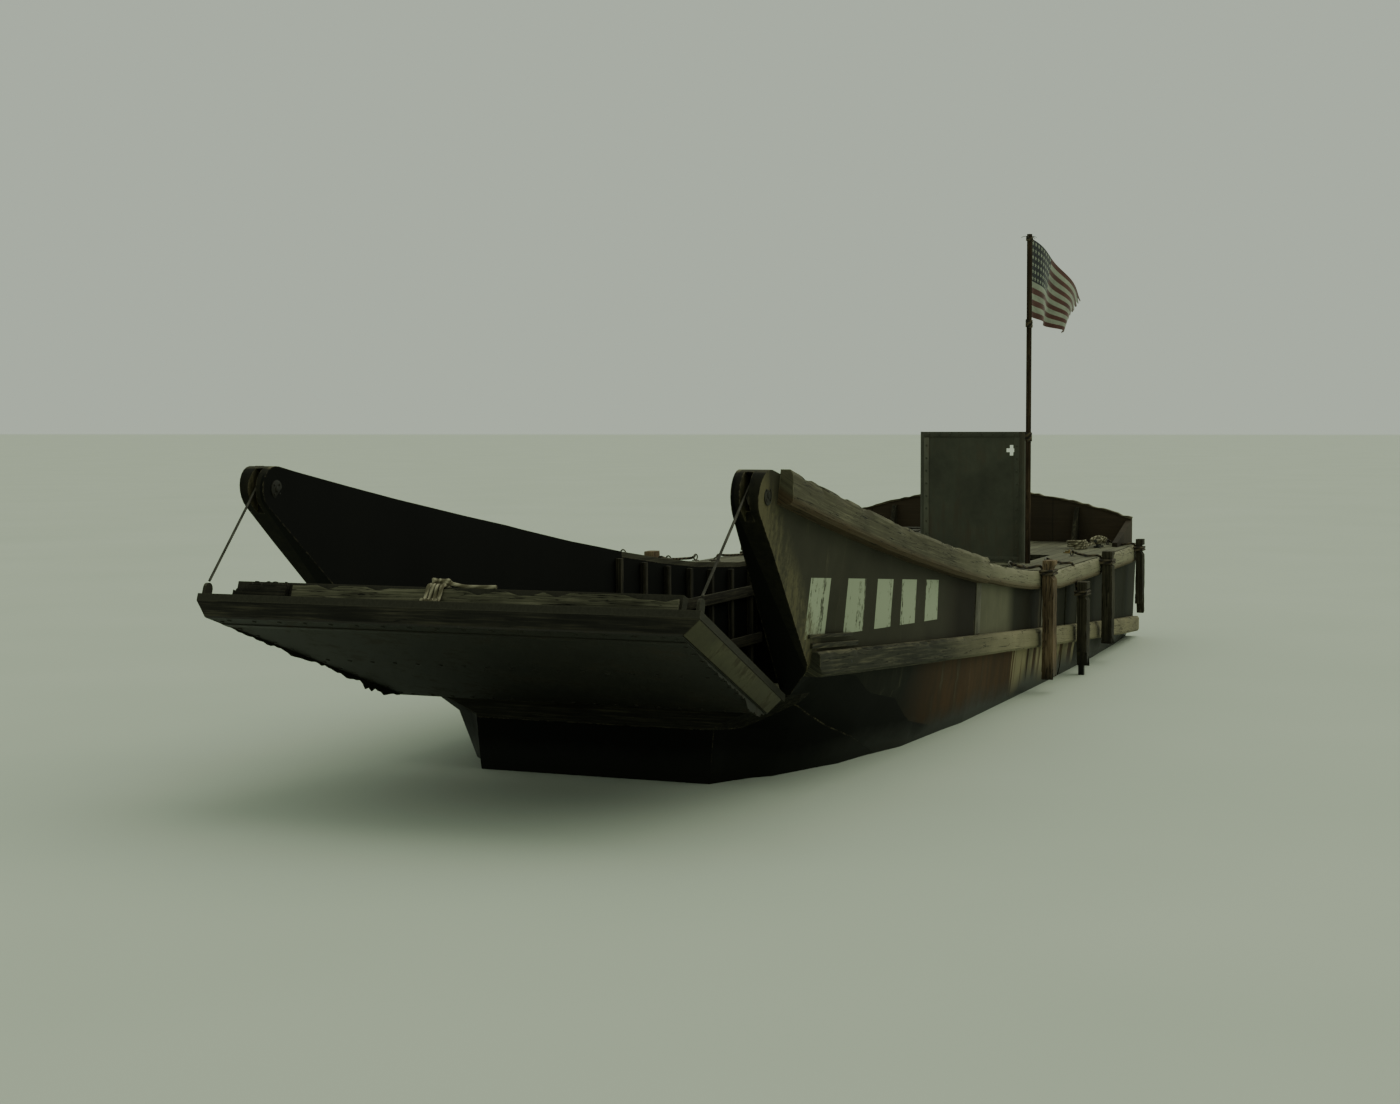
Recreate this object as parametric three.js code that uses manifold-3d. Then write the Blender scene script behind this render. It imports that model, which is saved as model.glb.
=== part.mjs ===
// A 36-foot wooden landing craft with a bow ramp, afloat, in millimetres.
// +X is forward, +Y is to port and +Z is up. The origin is on the centreline, amidships, at the waterline.
import * as THREE from "three";
import { mergeVertices } from "three/addons/utils/BufferGeometryUtils.js";
import Module from "manifold-3d";

const wasm = await Module();
wasm.setup();

const radians = THREE.MathUtils.degToRad;

// Driving dimensions
const GAP = 0.3; // between pieces that touch
const CLEARANCE = 8; // between pieces that move past each other
const STERN_X = -5400;
const TIP_X = 5410; // the sheer's rise is measured to here
const WALL_INNER = 1190; // half the width of the load space
const CUT_TOP = 2400; // above every part of the hull
const CUT_LOW = -1200; // below every part of the hull
const SHEER_Z = 930; // height of the deck edge from the stern to the start of its rise
const SHEER_RISE = 1040; // from there to the wing tips
const SHEER_POWER = 1.4;
const SHEER_START_X = -1500;
const FLOOR_Z = -180; // top of the load floor
const FLOOR_SLOPE_X = 1900; // where the load floor starts to rise
const FLOOR_END = { x: 3820, z: 520, half: 1130 };
const PLANK = 40; // thickness of deck, floor and bulkhead planks
const HINGE = { x: 4050, z: 570 }; // of the ramp
const RAKE = radians(41.7); // of the closed ramp above the horizontal
const RAMP_REST = radians(20);
const HEADLOG = { aft: 3840, fore: 4004, low: 330, high: 560 };
const BULKHEAD_X = -1950; // aft end of the load space
const QUARTER_X = -3400; // where the deck reaches the hull's sides
const TRANSOM_THICK = 60;
const PANEL_X = 950; // joint between bow wing and side wall

// Outside of the hull, one row for each station
const HULL_STATIONS = [
  // x, keelZ, lowHalf, lowZ, midHalf, midZ, chineHalf, chineZ, guardHalf, sheerHalf
  [-5400, -262, 1330, -228, 1440, 20, 1470, 73, 1500, 1530],
  [-4600, -380, 1400, -250, 1490, 30, 1518, 105, 1545, 1580],
  [-3400, -520, 1440, -300, 1530, 50, 1552, 156, 1575, 1600],
  [-1600, -620, 1450, -340, 1540, 60, 1560, 222, 1580, 1600],
  [1000, -660, 1430, -340, 1530, 130, 1552, 345, 1575, 1600],
  [2200, -610, 1330, -270, 1480, 210, 1530, 430, 1560, 1600],
  [3000, -500, 1160, -180, 1370, 260, 1480, 480, 1540, 1605],
  [3600, -350, 960, -140, 1150, 300, 1405, 530, 1520, 1610],
  [3920, -150, 800, -80, 860, 340, 1330, 565, 1505, 1614],
  [4020, -60, 760, -30, 795, 355, 1310, 575, 1500, 1615],
  [5720, -60, 760, -30, 795, 355, 1310, 575, 1500, 1627],
];
const COLUMN = { guardHalf: 8, sheerHalf: 9 };

// Inside of the load space and between the wings
const WELL_STATIONS = [
  // x, floorZ, floorHalf, topHalf
  [BULKHEAD_X, FLOOR_Z, WALL_INNER, WALL_INNER],
  [PANEL_X, FLOOR_Z, WALL_INNER, WALL_INNER],
  [FLOOR_SLOPE_X, FLOOR_Z, WALL_INNER, 1215],
  [FLOOR_END.x, FLOOR_END.z, 1200, 1400],
  [HINGE.x, 530, 1230, 1420],
  [5720, 1700, 1455, 1475],
];

// Materials, one for each finish
const FINISHES = {
  hull: new THREE.MeshStandardMaterial({ color: 0x2b2e24, roughness: 0.75, metalness: 0 }),
  timber: new THREE.MeshStandardMaterial({ color: 0x6a5a47, roughness: 0.85, metalness: 0 }),
  deck: new THREE.MeshStandardMaterial({ color: 0x77756a, roughness: 0.85, metalness: 0 }),
  steel: new THREE.MeshStandardMaterial({ color: 0x24261f, roughness: 0.55, metalness: 0.4 }),
  wire: new THREE.MeshStandardMaterial({ color: 0x6f6c66, roughness: 0.5, metalness: 0.8 }),
  bronze: new THREE.MeshStandardMaterial({ color: 0x8f6f3c, roughness: 0.4, metalness: 0.9 }),
  engine: new THREE.MeshStandardMaterial({ color: 0x5b6166, roughness: 0.6, metalness: 0.3 }),
  cloth: new THREE.MeshStandardMaterial({ color: 0xb9a79a, roughness: 0.9, metalness: 0 }),
};

// Height of the deck edge: a rising curve, drawn by straight lines between the shared stations.
const SHEER_XS = [STERN_X, SHEER_START_X, -500, 200, PANEL_X, 1800, 2600, 3300, HINGE.x, 4500, 5000, 5720];
function sheerCurve(x) {
  const part = Math.max(0, (x - SHEER_START_X) / (TIP_X - SHEER_START_X));
  return SHEER_Z + SHEER_RISE * Math.pow(part, SHEER_POWER);
}
function sheerZ(x) {
  const next = Math.max(1, SHEER_XS.findIndex((station) => station >= x));
  const [a, b] = [SHEER_XS[next - 1], SHEER_XS[next]];
  return sheerCurve(a) + ((sheerCurve(b) - sheerCurve(a)) * (x - a)) / (b - a);
}

// Height of the lower guard's middle.
function guardZ(x) {
  return 154 + (637 * (x + 5000)) / 9400;
}

// Height of the underside of the load floor.
function floorUnder(x) {
  const slope = (FLOOR_END.z - FLOOR_Z) / (FLOOR_END.x - FLOOR_SLOPE_X);
  return FLOOR_Z - PLANK + Math.max(0, x - FLOOR_SLOPE_X) * slope;
}

// Height of the raked plane that the closed ramp lies on.
function rakeZ(x) {
  return HINGE.z + (x - HINGE.x) * Math.tan(RAKE);
}

// A value of the hull table at any x, by straight interpolation.
function hullValue(x, column) {
  const next = Math.max(1, HULL_STATIONS.findIndex((row) => row[0] >= x));
  const [a, b] = [HULL_STATIONS[next - 1], HULL_STATIONS[next]];
  return a[column] + ((b[column] - a[column]) * (x - a[0])) / (b[0] - a[0]);
}

// Every station between two places, with both ends.
function stationsBetween(x0, x1) {
  const inside = [...SHEER_XS, ...HULL_STATIONS.map((row) => row[0])].filter((x) => x > x0 + 1 && x < x1 - 1);
  return [...new Set([x0, ...inside.sort((a, b) => a - b), x1])];
}

// Evenly spaced values from a to b.
function steps(a, b, count) {
  return Array.from({ length: count + 1 }, (_, i) => a + ((b - a) * i) / count);
}

// A closed geometry as a solid for joining and cutting.
function solidOf(geometry) {
  const bare = geometry.clone();
  bare.deleteAttribute("normal");
  bare.deleteAttribute("uv");
  const closed = mergeVertices(bare, 1e-3);
  return new wasm.Manifold(
    new wasm.Mesh({
      numProp: 3,
      vertProperties: Float32Array.from(closed.attributes.position.array),
      triVerts: Uint32Array.from(closed.index.array),
    }),
  );
}

// A solid as a geometry.
function geometryOf(solid) {
  const made = solid.getMesh();
  const geometry = new THREE.BufferGeometry();
  geometry.setAttribute("position", new THREE.BufferAttribute(Float32Array.from(made.vertProperties), 3));
  geometry.setIndex(new THREE.BufferAttribute(Uint32Array.from(made.triVerts), 1));
  geometry.computeVertexNormals();
  return geometry;
}

// Joins geometries into one.
function joined(...geometries) {
  return geometryOf(geometries.map(solidOf).reduce((a, b) => a.add(b)));
}

// Cuts the later geometries out of the first.
function cut(geometry, ...tools) {
  return geometryOf(tools.map(solidOf).reduce((a, b) => a.subtract(b), solidOf(geometry)));
}

// What two geometries share.
function shared(a, b) {
  return geometryOf(solidOf(a).intersect(solidOf(b)));
}

// A rectangular block between two limits on each axis.
function block([x0, x1], [y0, y1], [z0, z1]) {
  const box = new THREE.BoxGeometry(x1 - x0, y1 - y0, z1 - z0);
  return box.translate((x0 + x1) / 2, (y0 + y1) / 2, (z0 + z1) / 2);
}

// A side outline of [x, z] points, extruded across the boat from y0 to y1.
function sidePrism(points, y0, y1) {
  const shape = new THREE.Shape(points.map(([x, z]) => new THREE.Vector2(x, z)));
  const solid = new THREE.ExtrudeGeometry(shape, { depth: y1 - y0, bevelEnabled: false });
  return solid.rotateX(Math.PI / 2).translate(0, y1, 0);
}

// A plan outline of [x, y] points, extruded upwards from z0 to z1.
function planPrism(points, z0, z1) {
  const shape = new THREE.Shape(points.map(([x, y]) => new THREE.Vector2(x, y)));
  return new THREE.ExtrudeGeometry(shape, { depth: z1 - z0, bevelEnabled: false }).translate(0, 0, z0);
}

// An end outline of [y, z] points, extruded forward from x0 to x1.
function endPrism(points, x0, x1) {
  return loft([x0, x1].map((x) => ({ x, ring: points })));
}

// A cylinder between two points.
function rod(from, to, radius, sides = 12) {
  const [a, b] = [new THREE.Vector3(...from), new THREE.Vector3(...to)];
  const along = b.clone().sub(a);
  const up = new THREE.Vector3(0, 1, 0);
  const turn = new THREE.Quaternion().setFromUnitVectors(up, along.clone().normalize());
  const middle = a.clone().add(b).multiplyScalar(0.5);
  return new THREE.CylinderGeometry(radius, radius, along.length(), sides)
    .applyQuaternion(turn)
    .translate(middle.x, middle.y, middle.z);
}

// Twice the area that a ring of [y, z] points goes round, positive when it turns from +Y to +Z.
function ringArea(ring) {
  return ring.reduce((sum, [y, z], i) => {
    const [nextY, nextZ] = ring[(i + 1) % ring.length];
    return sum + y * nextZ - nextY * z;
  }, 0);
}

// A closed skin over rings of [y, z] points that stand at rising x.
function loft(stations) {
  const rings = stations.map(({ ring }) => (ringArea(ring) < 0 ? [...ring].reverse() : ring));
  const count = rings[0].length;
  const positions = stations.flatMap(({ x }, i) => rings[i].flatMap(([y, z]) => [x, y, z]));
  const faces = [];
  const corner = (i) => new THREE.Vector3(...positions.slice(3 * i, 3 * i + 3));
  const span = (a, b) => Math.round(corner(a).distanceTo(corner(b)) * 100); // the shorter diagonal is chosen
  for (let i = 0; i + 1 < stations.length; i++) {
    for (let j = 0; j < count; j++) {
      const [a, b] = [i * count + j, i * count + ((j + 1) % count)];
      const [c, d] = [b + count, a + count];
      if (span(a, c) <= span(b, d)) faces.push(a, b, c, a, c, d);
      else faces.push(a, b, d, b, c, d);
    }
  }
  const last = (stations.length - 1) * count;
  const asPoints = (ring) => ring.map(([y, z]) => new THREE.Vector2(y, z));
  for (const [a, b, c] of THREE.ShapeUtils.triangulateShape(asPoints(rings[0]), [])) faces.push(c, b, a);
  for (const [a, b, c] of THREE.ShapeUtils.triangulateShape(asPoints(rings.at(-1)), [])) {
    faces.push(last + a, last + b, last + c);
  }
  const geometry = new THREE.BufferGeometry();
  geometry.setAttribute("position", new THREE.Float32BufferAttribute(positions, 3));
  geometry.setIndex(faces);
  geometry.computeVertexNormals();
  return geometry;
}

// The other side's copy of a geometry.
function mirrored(geometry) {
  const copy = geometry.clone().scale(1, -1, 1);
  const index = copy.index ?? null;
  const count = copy.attributes.position.count;
  const flipped = index ? index.array : Uint32Array.from({ length: count }, (_, i) => i);
  for (let i = 1; i < flipped.length; i += 3) [flipped[i], flipped[i + 1]] = [flipped[i + 1], flipped[i]];
  copy.setIndex(new THREE.BufferAttribute(Uint32Array.from(flipped), 1));
  copy.computeVertexNormals();
  return copy;
}

const boat = new THREE.Group();
const ramp = new THREE.Group();
ramp.position.set(HINGE.x, 0, HINGE.z);
ramp.rotation.y = -RAMP_REST;
boat.add(ramp);

// Adds one named piece.
function piece(name, geometry, finish, parent = boat) {
  const mesh = new THREE.Mesh(geometry, FINISHES[finish].clone());
  mesh.name = name;
  parent.add(mesh);
}

// Adds a piece to port and its mirror image to starboard.
function pair(name, geometry, finish, parent = boat) {
  piece(`${name}_port`, geometry, finish, parent);
  piece(`${name}_starboard`, mirrored(geometry), finish, parent);
}

// The whole outside of the hull, grown by a margin, up to a level above the sheer.
function hullForm(margin = 0) {
  const rows = HULL_STATIONS.map((row) => {
    const [x, keelZ, lowHalf, lowZ, midHalf, midZ, chineHalf, chineZ, guardHalf, sheerHalf] = row;
    const flare = (sheerHalf - guardHalf) / (sheerZ(x) - guardZ(x));
    const half = [
      [0.55 * lowHalf, keelZ + 0.25 * (lowZ - keelZ)],
      [lowHalf + margin, lowZ],
      [midHalf + margin, midZ],
      [chineHalf + margin, chineZ],
      [guardHalf + margin, guardZ(x)],
      [guardHalf + margin + flare * (CUT_TOP - guardZ(x)), CUT_TOP],
    ];
    const starboard = half.map(([y, z]) => [-y, z]).reverse();
    return { x, ring: [...starboard, [0, keelZ], ...half] };
  });
  return loft(rows);
}

// The space between the side walls and between the wings.
function wellForm(margin = 0) {
  return loft(
    WELL_STATIONS.map(([x, floorZ, floorHalf, topHalf]) => ({
      x,
      ring: [
        [-topHalf + margin, CUT_TOP + 100],
        [-floorHalf + margin, floorZ - 200],
        [floorHalf - margin, floorZ - 200],
        [topHalf - margin, CUT_TOP + 100],
      ],
    })),
  );
}

const HULL = hullForm();
const HULL_GROWN = hullForm(GAP);
const WELL = wellForm();
const WIDE = 2000; // wider than the hull to one side

// A side outline between two heights that are functions of x.
function bandOutline(x0, x1, low, high) {
  const xs = stationsBetween(x0, x1);
  return [...xs.map((x) => [x, low(x)]), ...xs.reverse().map((x) => [x, high(x)])];
}

// Hull below the floor, with the half tunnel over the propeller
const SHAFT_SLOPE = radians(13);
const PROPELLER = { x: -4700, z: -560, radius: 280 };
const TUNNEL_RADIUS = 335;
function shaftPoint(x) {
  return [x, 0, PROPELLER.z + (x - PROPELLER.x) * Math.tan(SHAFT_SLOPE)];
}
function hullBottom() {
  const outline = [
    [STERN_X, CUT_LOW],
    [HEADLOG.fore, CUT_LOW],
    [HEADLOG.fore, HEADLOG.low - GAP],
    [HEADLOG.aft - GAP, HEADLOG.low - GAP],
    [HEADLOG.aft - GAP, floorUnder(HEADLOG.aft - GAP) - GAP],
    [FLOOR_SLOPE_X, FLOOR_Z - PLANK - GAP],
    [STERN_X, FLOOR_Z - PLANK - GAP],
  ];
  const tunnel = rod([STERN_X - 100, 0, PROPELLER.z + 30], shaftPoint(-3700), TUNNEL_RADIUS, 20);
  return cut(shared(HULL, sidePrism(outline, -WIDE, WIDE)), tunnel);
}
piece("hull_bottom", hullBottom(), "hull");

// Headlog with its hinge knuckles
const PIN_RADIUS = 16;
const KNUCKLE_RADIUS = 34;
const KNUCKLE_WIDTH = 90;
const HULL_KNUCKLES = [-1000, -340, 340, 1000];
const RAMP_KNUCKLES = [-895, -235, 235, 895];
function knuckle(y, bodyEnd) {
  const barrel = rod([0, y - KNUCKLE_WIDTH / 2, 0], [0, y + KNUCKLE_WIDTH / 2, 0], KNUCKLE_RADIUS, 14);
  return joined(barrel, bodyEnd);
}
function headlog() {
  const beam = shared(HULL, block([HEADLOG.aft, HEADLOG.fore], [-WIDE, WIDE], [HEADLOG.low, HEADLOG.high]));
  const knuckles = HULL_KNUCKLES.map((y) => {
    const root = block([-60, 0], [y - KNUCKLE_WIDTH / 2, y + KNUCKLE_WIDTH / 2], [-KNUCKLE_RADIUS, -2]);
    return knuckle(y, root).translate(HINGE.x, 0, HINGE.z);
  });
  const bore = rod([HINGE.x, -1100, HINGE.z], [HINGE.x, 1100, HINGE.z], PIN_RADIUS + 1, 14);
  return cut(joined(beam, ...knuckles), bore);
}
piece("headlog", headlog(), "timber");
piece("ramp_hinge_pin", rod([HINGE.x, -1060, HINGE.z], [HINGE.x, 1060, HINGE.z], PIN_RADIUS, 14), "wire");

// Side walls, covering boards and bow wings
const INSIDE_PORT = 900; // inboard of every port wall
function sideWall() {
  const top = (x) => sheerZ(x) - PLANK - GAP;
  const outline = bandOutline(BULKHEAD_X - PLANK, PANEL_X - GAP, (x) => floorUnder(x) + GAP, top);
  const wall = cut(shared(HULL, sidePrism(outline, INSIDE_PORT, WIDE)), WELL);
  return shared(wall, block([BULKHEAD_X, PANEL_X], [INSIDE_PORT, WIDE], [CUT_LOW, CUT_TOP]));
}
pair("side_wall", sideWall(), "hull");

function coveringBoard() {
  const outline = bandOutline(QUARTER_X + GAP, PANEL_X - GAP, (x) => sheerZ(x) - PLANK, sheerZ);
  return shared(HULL, sidePrism(outline, WALL_INNER, WIDE));
}
pair("covering_board", coveringBoard(), "deck");

const TIP_RADIUS = 135;
// Sheave in the slot of each wing's nose, and the slot's clearance round it
const SHEAVE = { x: 5222, y: 1525, z: 1792, radius: 62, half: 13, axle: 14, slotHalf: 25, slotGap: 20 };
// Middle of the round nose that touches both the sheer and the raked plane.
function tipCentre() {
  const aft = 5000;
  const rise = (sheerZ(5720) - sheerZ(aft)) / (5720 - aft);
  const above = TIP_RADIUS * Math.hypot(1, rise); // from the nose's middle up to the sheer
  const below = TIP_RADIUS / Math.cos(RAKE); // and down to the raked plane
  const x = aft + (sheerZ(aft) - rakeZ(aft) - above - below) / (Math.tan(RAKE) - rise);
  return { x, z: sheerZ(x) - above, top: 90 + THREE.MathUtils.radToDeg(Math.atan(rise)) };
}
function wingOutline() {
  const centre = tipCentre();
  const arc = steps(THREE.MathUtils.radToDeg(RAKE) - 90, centre.top, 10).map((angle) => [
    centre.x + TIP_RADIUS * Math.cos(radians(angle)),
    centre.z + TIP_RADIUS * Math.sin(radians(angle)),
  ]);
  const sheerXs = stationsBetween(PANEL_X, 5000);
  return [
    [PANEL_X, floorUnder(PANEL_X) + GAP],
    [FLOOR_SLOPE_X, floorUnder(FLOOR_SLOPE_X) + GAP],
    [HEADLOG.aft, floorUnder(HEADLOG.aft) + GAP],
    [HEADLOG.aft, HEADLOG.high + GAP],
    [HINGE.x, HEADLOG.high + GAP],
    [HINGE.x, HINGE.z],
    ...arc,
    ...sheerXs.reverse().map((x) => [x, sheerZ(x)]),
  ];
}
// The slot is closed above and behind the sheave, and open in front for the lift cable.
function sheaveSlot() {
  const reach = SHEAVE.radius + SHEAVE.slotGap;
  const [aft, low, fore] = [SHEAVE.x - reach, SHEAVE.z - reach, TIP_X];
  const mouth = SHEAVE.x + 42;
  const outline = [
    [aft, low],
    [mouth, low],
    [mouth, low - 2 * TIP_RADIUS],
    [fore, low - 2 * TIP_RADIUS],
    [fore, SHEAVE.z + 2 * TIP_RADIUS],
    [mouth, SHEAVE.z + reach + 32],
    [SHEAVE.x - 20, SHEAVE.z + reach],
    [aft, SHEAVE.z + reach - 20],
  ];
  return sidePrism(outline, SHEAVE.y - SHEAVE.slotHalf, SHEAVE.y + SHEAVE.slotHalf);
}
function bowWing() {
  const form = cut(shared(HULL, sidePrism(wingOutline(), INSIDE_PORT, WIDE)), WELL);
  const pinEnd = rod([HINGE.x, 0, HINGE.z], [HINGE.x, 1100, HINGE.z], KNUCKLE_RADIUS + 6, 14);
  return cut(form, pinEnd, sheaveSlot());
}
pair("bow_wing", bowWing(), "hull");

// Load floor and the bulkhead behind it
function loadFloor() {
  const outline = [
    [BULKHEAD_X + GAP, FLOOR_Z - PLANK],
    [FLOOR_SLOPE_X, FLOOR_Z - PLANK],
    [FLOOR_END.x, FLOOR_END.z - PLANK],
    [FLOOR_END.x, FLOOR_END.z],
    [FLOOR_SLOPE_X, FLOOR_Z],
    [BULKHEAD_X + GAP, FLOOR_Z],
  ];
  const plan = [
    [BULKHEAD_X, -WALL_INNER + GAP],
    [FLOOR_SLOPE_X, -WALL_INNER + GAP],
    [FLOOR_END.x, -FLOOR_END.half],
    [FLOOR_END.x, FLOOR_END.half],
    [FLOOR_SLOPE_X, WALL_INNER - GAP],
    [BULKHEAD_X, WALL_INNER - GAP],
  ];
  return shared(sidePrism(outline, -WIDE, WIDE), planPrism(plan, CUT_LOW, CUT_TOP));
}
piece("load_floor", loadFloor(), "deck");
const DECK_UNDER = SHEER_Z - PLANK;
function bulkhead() {
  const span = [BULKHEAD_X - PLANK, BULKHEAD_X - GAP];
  return block(span, [-WALL_INNER, WALL_INNER], [FLOOR_Z - PLANK, DECK_UNDER - GAP]);
}
piece("bulkhead", bulkhead(), "hull");

// Hull aft of the load space, with the engine bay and the cockpit
const BAY = { x: [-3700, -2400], y: [-450, 450], z: FLOOR_Z - PLANK + 60 };
const COCKPIT = { x: [-3320, -2320], y: [580, 1150], z: 450 };
function hullAft() {
  const span = [STERN_X + TRANSOM_THICK + GAP, BULKHEAD_X - PLANK - GAP];
  const form = shared(HULL, block(span, [-WIDE, WIDE], [FLOOR_Z - PLANK, DECK_UNDER - GAP]));
  const bay = block(BAY.x, BAY.y, [BAY.z, CUT_TOP]);
  const cockpit = block(COCKPIT.x, COCKPIT.y, [COCKPIT.z, CUT_TOP]);
  return cut(form, bay, cockpit);
}
piece("hull_aft", hullAft(), "hull");
function deckPlate() {
  const aftSpan = [STERN_X + TRANSOM_THICK + GAP, QUARTER_X];
  const aft = shared(HULL, block(aftSpan, [-WIDE, WIDE], [DECK_UNDER, SHEER_Z]));
  const inner = WALL_INNER - GAP;
  const fore = block([QUARTER_X - 10, BULKHEAD_X - GAP], [-inner, inner], [DECK_UNDER, SHEER_Z]);
  const bay = block(BAY.x, BAY.y, [0, CUT_TOP]);
  const cockpit = block(COCKPIT.x, COCKPIT.y, [0, CUT_TOP]);
  return cut(joined(aft, fore), bay, cockpit);
}
piece("deck", deckPlate(), "deck");
function transom() {
  return shared(HULL, block([STERN_X, STERN_X + TRANSOM_THICK], [-WIDE, WIDE], [FLOOR_Z - PLANK, SHEER_Z]));
}
piece("transom", transom(), "hull");

// Where a guard's eased corners start, as shares of its thickness and of its height
const GUARD_CORNER = { out: 0.78, up: 0.37 };
// Guards along the sides: a ring of [out, up] points round the hull's side at each station
function guard(x0, x1, { middle, column, height, thick }) {
  const back = -60;
  const rows = stationsBetween(x0, x1).map((x) => {
    const side = hullValue(x, column);
    const z = middle(x);
    const ring = [
      [side + back, z - height / 2],
      [side + GUARD_CORNER.out * thick, z - height / 2],
      [side + thick, z - GUARD_CORNER.up * height],
      [side + thick, z + GUARD_CORNER.up * height],
      [side + GUARD_CORNER.out * thick, z + height / 2],
      [side + back, z + height / 2],
    ];
    return { x, ring };
  });
  return loft(rows);
}
const UPPER_FORE = { middle: (x) => sheerZ(x) - 70, column: COLUMN.sheerHalf, height: 190, thick: 80 };
const UPPER_AFT = { middle: (x) => sheerZ(x) - 78, column: COLUMN.sheerHalf, height: 145, thick: 60 };
const LOWER = { middle: guardZ, column: COLUMN.guardHalf, height: 150, thick: 65 };
const SPLICE_X = 880; // where the upper guard's two lengths meet
const GUARD_FORE_X = 5080;
const LOWER_FORE_X = 4250;
function upperForeGuard() {
  return cut(guard(SPLICE_X, GUARD_FORE_X, UPPER_FORE), HULL_GROWN);
}
pair("guard_upper_fore", upperForeGuard(), "timber");
pair("guard_upper_aft", cut(guard(STERN_X, SPLICE_X - GAP, UPPER_AFT), HULL_GROWN), "timber");
function lowerGuard() {
  const fore = LOWER_FORE_X + 200;
  const under = HINGE.z - 300;
  const ahead = [
    [HINGE.x, under],
    [HINGE.x, HINGE.z],
    [fore, rakeZ(fore)],
    [fore, under],
  ];
  return cut(guard(STERN_X, LOWER_FORE_X, LOWER), HULL_GROWN, sidePrism(ahead, 0, WIDE));
}
pair("guard_lower", lowerGuard(), "timber");
const STERN_GUARD = { thick: 60, half: 1440, low: SHEER_Z - 150, high: SHEER_Z - 5 };
function sternGuard() {
  const { thick, half, low, high } = STERN_GUARD;
  return block([STERN_X - thick, STERN_X - GAP], [-half, half], [low, high]);
}
piece("guard_stern", sternGuard(), "timber");

// Stern coaming: an arched board across the stern and a tapering board along each quarter
const COAMING = { thick: 50, side: 1490, low: 240, high: 510, power: 1.8 };
const COAMING_RETURN = { x: -4650, low: 40, high: 240 };
function sternCoaming() {
  const z0 = SHEER_Z + GAP;
  const arch = steps(-1, 1, 12).map((part) => [
    part * COAMING.side,
    SHEER_Z + COAMING.low + (COAMING.high - COAMING.low) * (1 - Math.pow(Math.abs(part), COAMING.power)),
  ]);
  const x0 = STERN_X + 10;
  const foot = [-COAMING.side, COAMING.side].map((y) => [y, z0]);
  const board = endPrism([...foot, ...arch.reverse()], x0, x0 + COAMING.thick);
  const wingOutline = [
    [x0, z0],
    [COAMING_RETURN.x, z0],
    [COAMING_RETURN.x, SHEER_Z + COAMING_RETURN.low],
    [x0, SHEER_Z + COAMING_RETURN.high],
  ];
  const wing = sidePrism(wingOutline, COAMING.side - COAMING.thick, COAMING.side);
  return joined(board, wing, mirrored(wing));
}
piece("stern_coaming", sternCoaming(), "hull");

// Engine box: coaming, two lids that hinge at their outer edges, and the engine
const BOX = { x: [-3760, -2345], half: 500, wall: 45, top: 1085 };
const LID = { low: BOX.top + 6, thick: 36, overhang: 25, foreOverhang: 5, split: 4, hingeRadius: 12 };
function engineCoaming() {
  const outer = block(BOX.x, [-BOX.half, BOX.half], [SHEER_Z + GAP, BOX.top]);
  const innerHalf = BOX.half - BOX.wall;
  const inner = block([BOX.x[0] + BOX.wall, BOX.x[1] - BOX.wall], [-innerHalf, innerHalf], [0, CUT_TOP]);
  return cut(outer, inner);
}
piece("engine_coaming", engineCoaming(), "hull");
const LID_HINGE = { y: BOX.half + LID.overhang + 14, z: LID.low + LID.hingeRadius, half: 60 };
const LID_HINGE_XS = [-3500, -3050, -2600];
function engineLid() {
  const { low, thick, overhang, foreOverhang, split } = LID;
  const span = [BOX.x[0] - overhang, BOX.x[1] + foreOverhang];
  const board = block(span, [split, BOX.half + overhang], [low, low + thick]);
  const hinges = LID_HINGE_XS.map((x) => {
    const [x0, x1] = [x - LID_HINGE.half, x + LID_HINGE.half];
    const barrel = rod([x0, LID_HINGE.y, LID_HINGE.z], [x1, LID_HINGE.y, LID_HINGE.z], LID.hingeRadius, 10);
    return joined(barrel, block([x0, x1], [BOX.half - 60, LID_HINGE.y], [low + 2, low + 12]));
  });
  return joined(board, ...hinges);
}
pair("engine_lid", engineLid(), "hull");
piece("engine", block([-3620, -2480], [-340, 340], [BAY.z + GAP, 800]), "engine");

// Coxswain's shield: a bent plate with a cross-shaped sight hole
const SHIELD = { x: -2240, y: [225, 1165], depth: 85, thick: 10, corner: 45, top: 2060 };
const SIGHT = { y: 1050, z: 1900, arm: 45, bar: 16 };
function bentPlateOutline({ x, y: [y0, y1], depth, thick, corner }) {
  const half = (sign, yEdge, inset) => {
    const radius = corner - inset;
    const centreY = yEdge - sign * corner;
    const arc = steps(90, 0, 3).map((angle) => [
      x - corner + radius * Math.cos(radians(angle)),
      centreY + sign * radius * Math.sin(radians(angle)),
    ]);
    return [[x - depth, yEdge - sign * inset], ...arc];
  };
  const outside = [...half(1, y1, 0), ...half(-1, y0, 0).reverse()];
  const inside = [...half(-1, y0, thick), ...half(1, y1, thick).reverse()];
  return [...outside, ...inside];
}
function shieldPlate() {
  const plate = planPrism(bentPlateOutline(SHIELD), SHEER_Z + GAP, SHIELD.top);
  const { y, z, arm, bar } = SIGHT;
  const through = [SHIELD.x - 40, SHIELD.x + 20];
  const upright = block(through, [y - bar, y + bar], [z - arm, z + arm]);
  const level = block(through, [y - arm, y + arm], [z - bar, z + bar]);
  return cut(plate, joined(upright, level));
}
piece("shield", shieldPlate(), "steel");

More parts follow.
